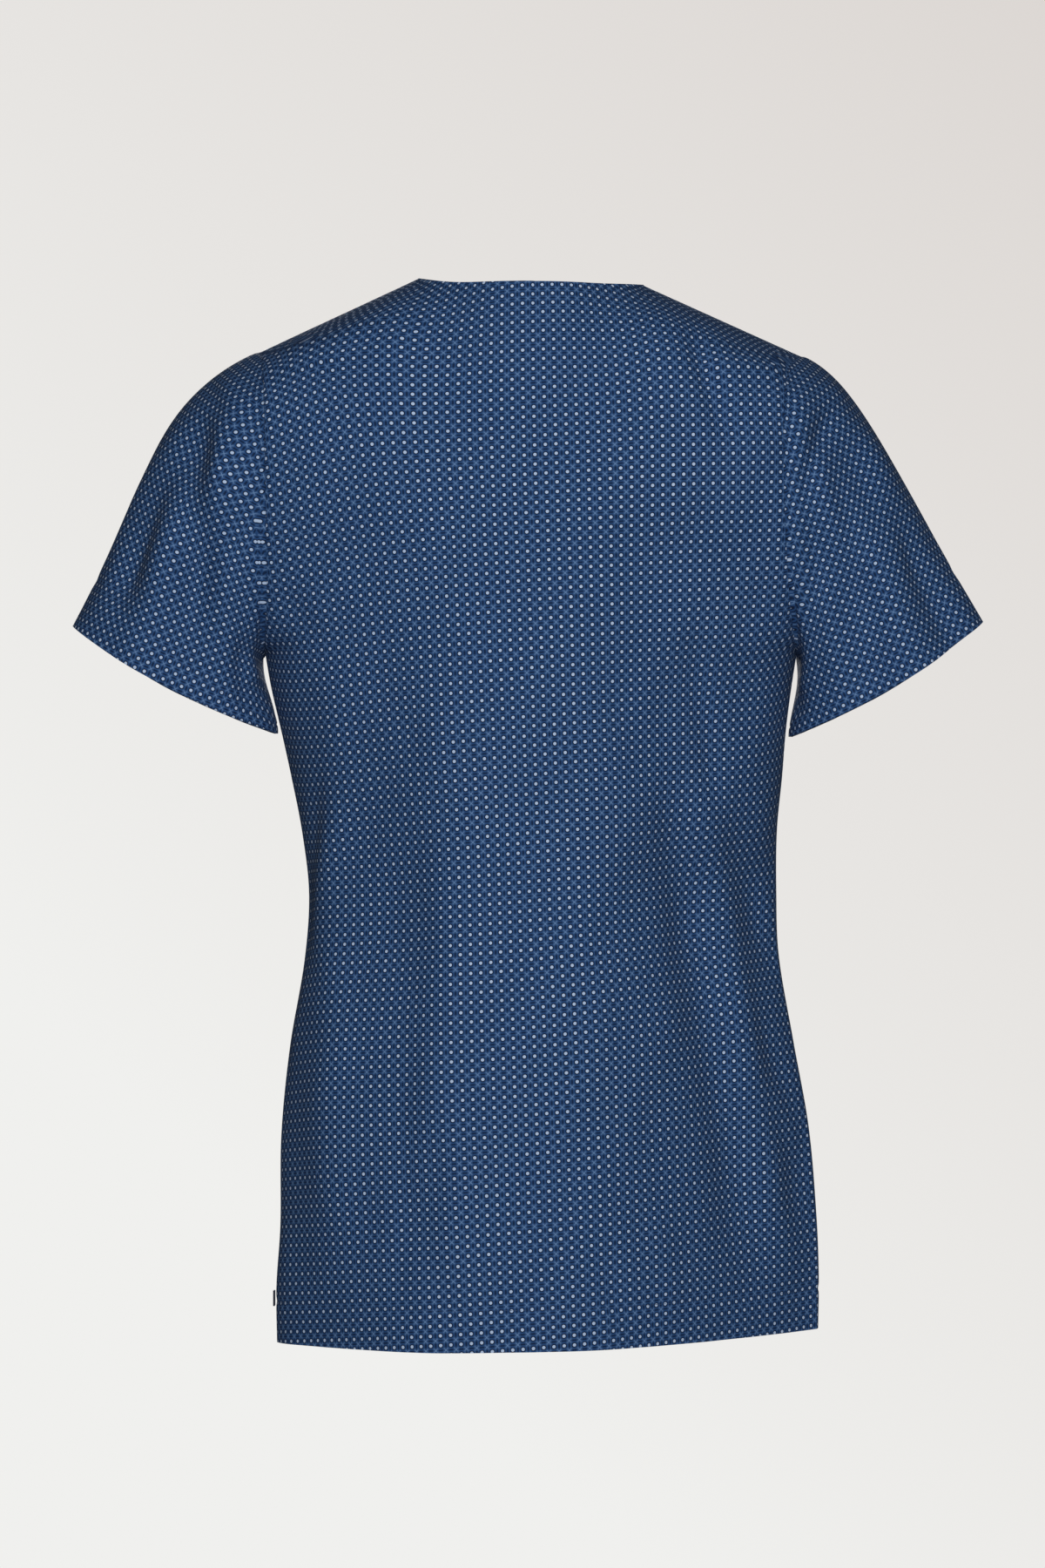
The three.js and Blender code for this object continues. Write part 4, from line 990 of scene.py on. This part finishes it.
def thread_material(name, light, dark):
    n = Nodes(name)
    place = n.tree.nodes.new("ShaderNodeTexCoord").outputs["Object"]
    twist = n.noise(place, 2600, 2.0)
    n.put(n.shader.inputs["Base Color"], n.blend(twist, colour(*dark), colour(*light)))
    n.shader.inputs["Roughness"].default_value = 0.55
    n.shader.inputs["Specular IOR Level"].default_value = 0.4
    n.bump(twist, 0.4, 0.00005)
    return n.material


# Each piece is cut from its own place on the cloth, so its print starts at its own share of a cell
prints = {
    "back_panel": print_material("back_print", (0.0, 0.0), False),
    "front_panel": print_material("front_print", (0.31, 0.12), False),
    "sleeve_left": print_material("sleeve_left_print", (0.2, 0.4), False),
    "sleeve_right": print_material("sleeve_right_print", (0.6, 0.1), False),
}
wrong_side = print_material("print_wrong_side", (0.4, 0.2), True)
thread = thread_material("sewing_thread", (66, 92, 130), (36, 56, 90))

garment = {}
for name, piece, closed, outward_up in (
    ("back_panel", panels["back"], False, True), ("front_panel", panels["front"], False, False),
    ("sleeve_left", sleeves["left"], True, True), ("sleeve_right", sleeves["right"], True, False),
):
    obj = cloth_object(f"{name}_cloth", piece, closed, outward_up)
    obj.data.materials.append(prints[name])
    obj.data.materials.append(wrong_side)
    garment[name] = obj


def surface_line(piece, row):
    """A grid row on the outer face, with its normals."""
    lift = (WALL_HALF - piece["sink"][row]) * piece["lengths"][row]
    normals = piece["normals"][row]
    return piece["grid"][row] + normals * lift[..., None], normals


stitches = {}
for name, piece, row in (
    ("back_panel", panels["back"], HEM_ROWS), ("front_panel", panels["front"], HEM_ROWS),
    ("sleeve_left", sleeves["left"], None), ("sleeve_right", sleeves["right"], None),
):
    if row is None:
        row = int(np.argmin(np.abs((1 - piece["shares"]) * piece["length"] - SLEEVE_HEM)))
    lines = [surface_line(piece, row)]
    stitches[name] = stitch_object(f"{name}_stitches", lines, STITCH_LENGTH, STITCH_GAP, THREAD)
    stitches[name].data.materials.append(thread)

# Folded tape in the left side seam
tape = Nodes("dark_tape")
place = tape.tree.nodes.new("ShaderNodeTexCoord").outputs["Object"]
ribs = tape.tree.nodes.new("ShaderNodeTexWave")
ribs.bands_direction = "Z"
ribs.inputs["Scale"].default_value = 320
tape.put(ribs.inputs["Vector"], place)
tape_colour = tape.blend(ribs.outputs["Fac"], colour(12, 18, 32), colour(34, 44, 66))
tape.put(tape.shader.inputs["Base Color"], tape_colour)
tape.shader.inputs["Roughness"].default_value = 0.6
tape.bump(ribs.outputs["Fac"], 0.5, 0.0001)


def tape_object():
    """A strip folded in two, its ends caught in the seam and its fold rounded outwards."""
    low, high = (np.array(c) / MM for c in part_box("side_tab"))
    half_thick = 0.22
    reach = high[0] - low[0]
    middle_y = (low[1] + high[1]) / 2
    half_deep = (high[1] - low[1]) / 2
    fold_x = low[0] + reach * 0.35
    fold = [(fold_x + reach * 0.65 * math.cos(a), middle_y + half_deep * math.sin(a))
            for a in np.linspace(-math.pi / 2, math.pi / 2, 13)]
    in_seam = [(low[0] - 0.2, middle_y + way * half_deep * 0.9) for way in (-1, 1)]
    line = np.array([in_seam[0], *fold, in_seam[1]])
    ahead = unit(np.gradient(line, axis=0))
    side = np.stack([ahead[:, 1], -ahead[:, 0]], -1)
    heights = np.linspace(low[2], high[2], 9)
    points, faces = [], []
    for z in heights:
        for off in (0.0, -2 * half_thick):
            for p, s in zip(line, side):
                q = p + s * off
                points.append((q[0], q[1], z))
    m = len(line)
    for k in range(len(heights) - 1):
        for layer in (0, 1):
            base = k * 2 * m + layer * m
            for i in range(m - 1):
                quad = (base + i, base + i + 1, base + 2 * m + i + 1, base + 2 * m + i)
                faces.append(quad if layer == 0 else quad[::-1])
    for k, back_way in ((0, True), (len(heights) - 1, False)):
        base = k * 2 * m
        for i in range(m - 1):
            quad = (base + i, base + i + 1, base + m + i + 1, base + m + i)
            faces.append(quad[::-1] if back_way else quad)
    for i in (0, m - 1):
        for k in range(len(heights) - 1):
            a, b = k * 2 * m + i, (k + 1) * 2 * m + i
            quad = (a, b, b + m, a + m)
            faces.append(quad[::-1] if i else quad)
    return smooth_object("side_tape", points, faces)


side_tape = tape_object()
side_tape.data.materials.append(tape.material)

# Bodies, replaced nodes and cloth
for name, obj in garment.items():
    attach(obj, "root")
    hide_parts(name)
    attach(stitches[name], "root")
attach(side_tape, "root")
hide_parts("side_tab")

# Floor, light and camera
FLOOR_RADIUS, FLOOR_Z = 2.4, -1.35
LIGHT_AIM = (0, 0, -0.35)
LIGHT_SIZE, LIGHT_POWER = (1.1, 1.1), 102
CAMERA_PLACE, CAMERA_LENS = (0.0068, 3.5, -0.329), 122.8

floor_mesh = bpy.data.meshes.new("floor")
turns = np.linspace(0, 2 * math.pi, 97)[:-1]
ring = [(FLOOR_RADIUS * math.cos(a), FLOOR_RADIUS * math.sin(a), FLOOR_Z) for a in turns]
floor_mesh.from_pydata(ring, [], [tuple(range(len(ring)))])
floor = add_object("floor", floor_mesh)
floor_look = Nodes("floor")
floor_look.shader.inputs["Base Color"].default_value = colour(236, 235, 233)
floor_look.shader.inputs["Roughness"].default_value = 0.9
floor_look.shader.inputs["Emission Color"].default_value = colour(238, 238, 236)
floor_look.shader.inputs["Emission Strength"].default_value = 0.4
floor_mesh.materials.append(floor_look.material)
floor.visible_diffuse = False


def area_light(name, place):
    data = bpy.data.lights.new(name, "AREA")
    data.shape = "RECTANGLE"
    data.size, data.size_y = LIGHT_SIZE
    data.energy = LIGHT_POWER
    obj = add_object(name, data)
    obj.location = place
    obj.rotation_euler = (Vector(LIGHT_AIM) - Vector(place)).to_track_quat("-Z", "Y").to_euler()
    obj.visible_camera = False


# one large soft light near the camera, and a like one for the garment's front
area_light("key", (-0.1, 3.6, 0.35))
area_light("front_key", (0.1, -3.6, 0.35))

world = bpy.data.worlds.new("studio")
bpy.context.scene.world = world
world.use_nodes = True
world.node_tree.nodes.clear()
new, link = world.node_tree.nodes.new, world.node_tree.links.new
out = new("ShaderNodeOutputWorld")
glow = new("ShaderNodeBackground")
paper = new("ShaderNodeBackground")
either = new("ShaderNodeMixShader")
path = new("ShaderNodeLightPath")
look = new("ShaderNodeTexCoord")
apart = new("ShaderNodeSeparateXYZ")
glow.inputs[0].default_value = (0.85, 0.93, 1.0, 1.0)
glow.inputs[1].default_value = 0.02
link(look.outputs["Generated"], apart.inputs[0])
# pale paper with painted shade, a little darker towards the upper right of the picture
across = new("ShaderNodeMath")
across.operation = "MULTIPLY_ADD"
link(apart.outputs[0], across.inputs[0])
across.inputs[1].default_value = -2.2
across.inputs[2].default_value = 0.3
upward = new("ShaderNodeMath")
upward.operation = "MULTIPLY_ADD"
link(apart.outputs[2], upward.inputs[0])
upward.inputs[1].default_value = 2.4
link(across.outputs[0], upward.inputs[2])
# painted shade on the paper backdrop: it darkens towards the upper right of the picture
painted_paper_shade = new("ShaderNodeMix")
painted_paper_shade.data_type = "RGBA"
link(upward.outputs[0], painted_paper_shade.inputs["Factor"])
painted_paper_shade.inputs["A"].default_value = colour(240, 240, 238)
painted_paper_shade.inputs["B"].default_value = colour(217, 211, 207)
link(painted_paper_shade.outputs["Result"], paper.inputs[0])
paper.inputs[1].default_value = 1.0
link(path.outputs["Is Camera Ray"], either.inputs[0])
link(glow.outputs[0], either.inputs[1])
link(paper.outputs[0], either.inputs[2])
link(either.outputs[0], out.inputs[0])

camera_data = bpy.data.cameras.new("camera")
camera_data.lens = CAMERA_LENS
camera_data.sensor_width = 36
camera_data.clip_end = 50
camera = add_object("camera", camera_data)
camera.location = CAMERA_PLACE
camera.rotation_euler = (math.pi / 2, 0, math.pi)
bpy.context.scene.camera = camera
bpy.context.scene.view_settings.view_transform = "Standard"

bpy.context.view_layer.update()
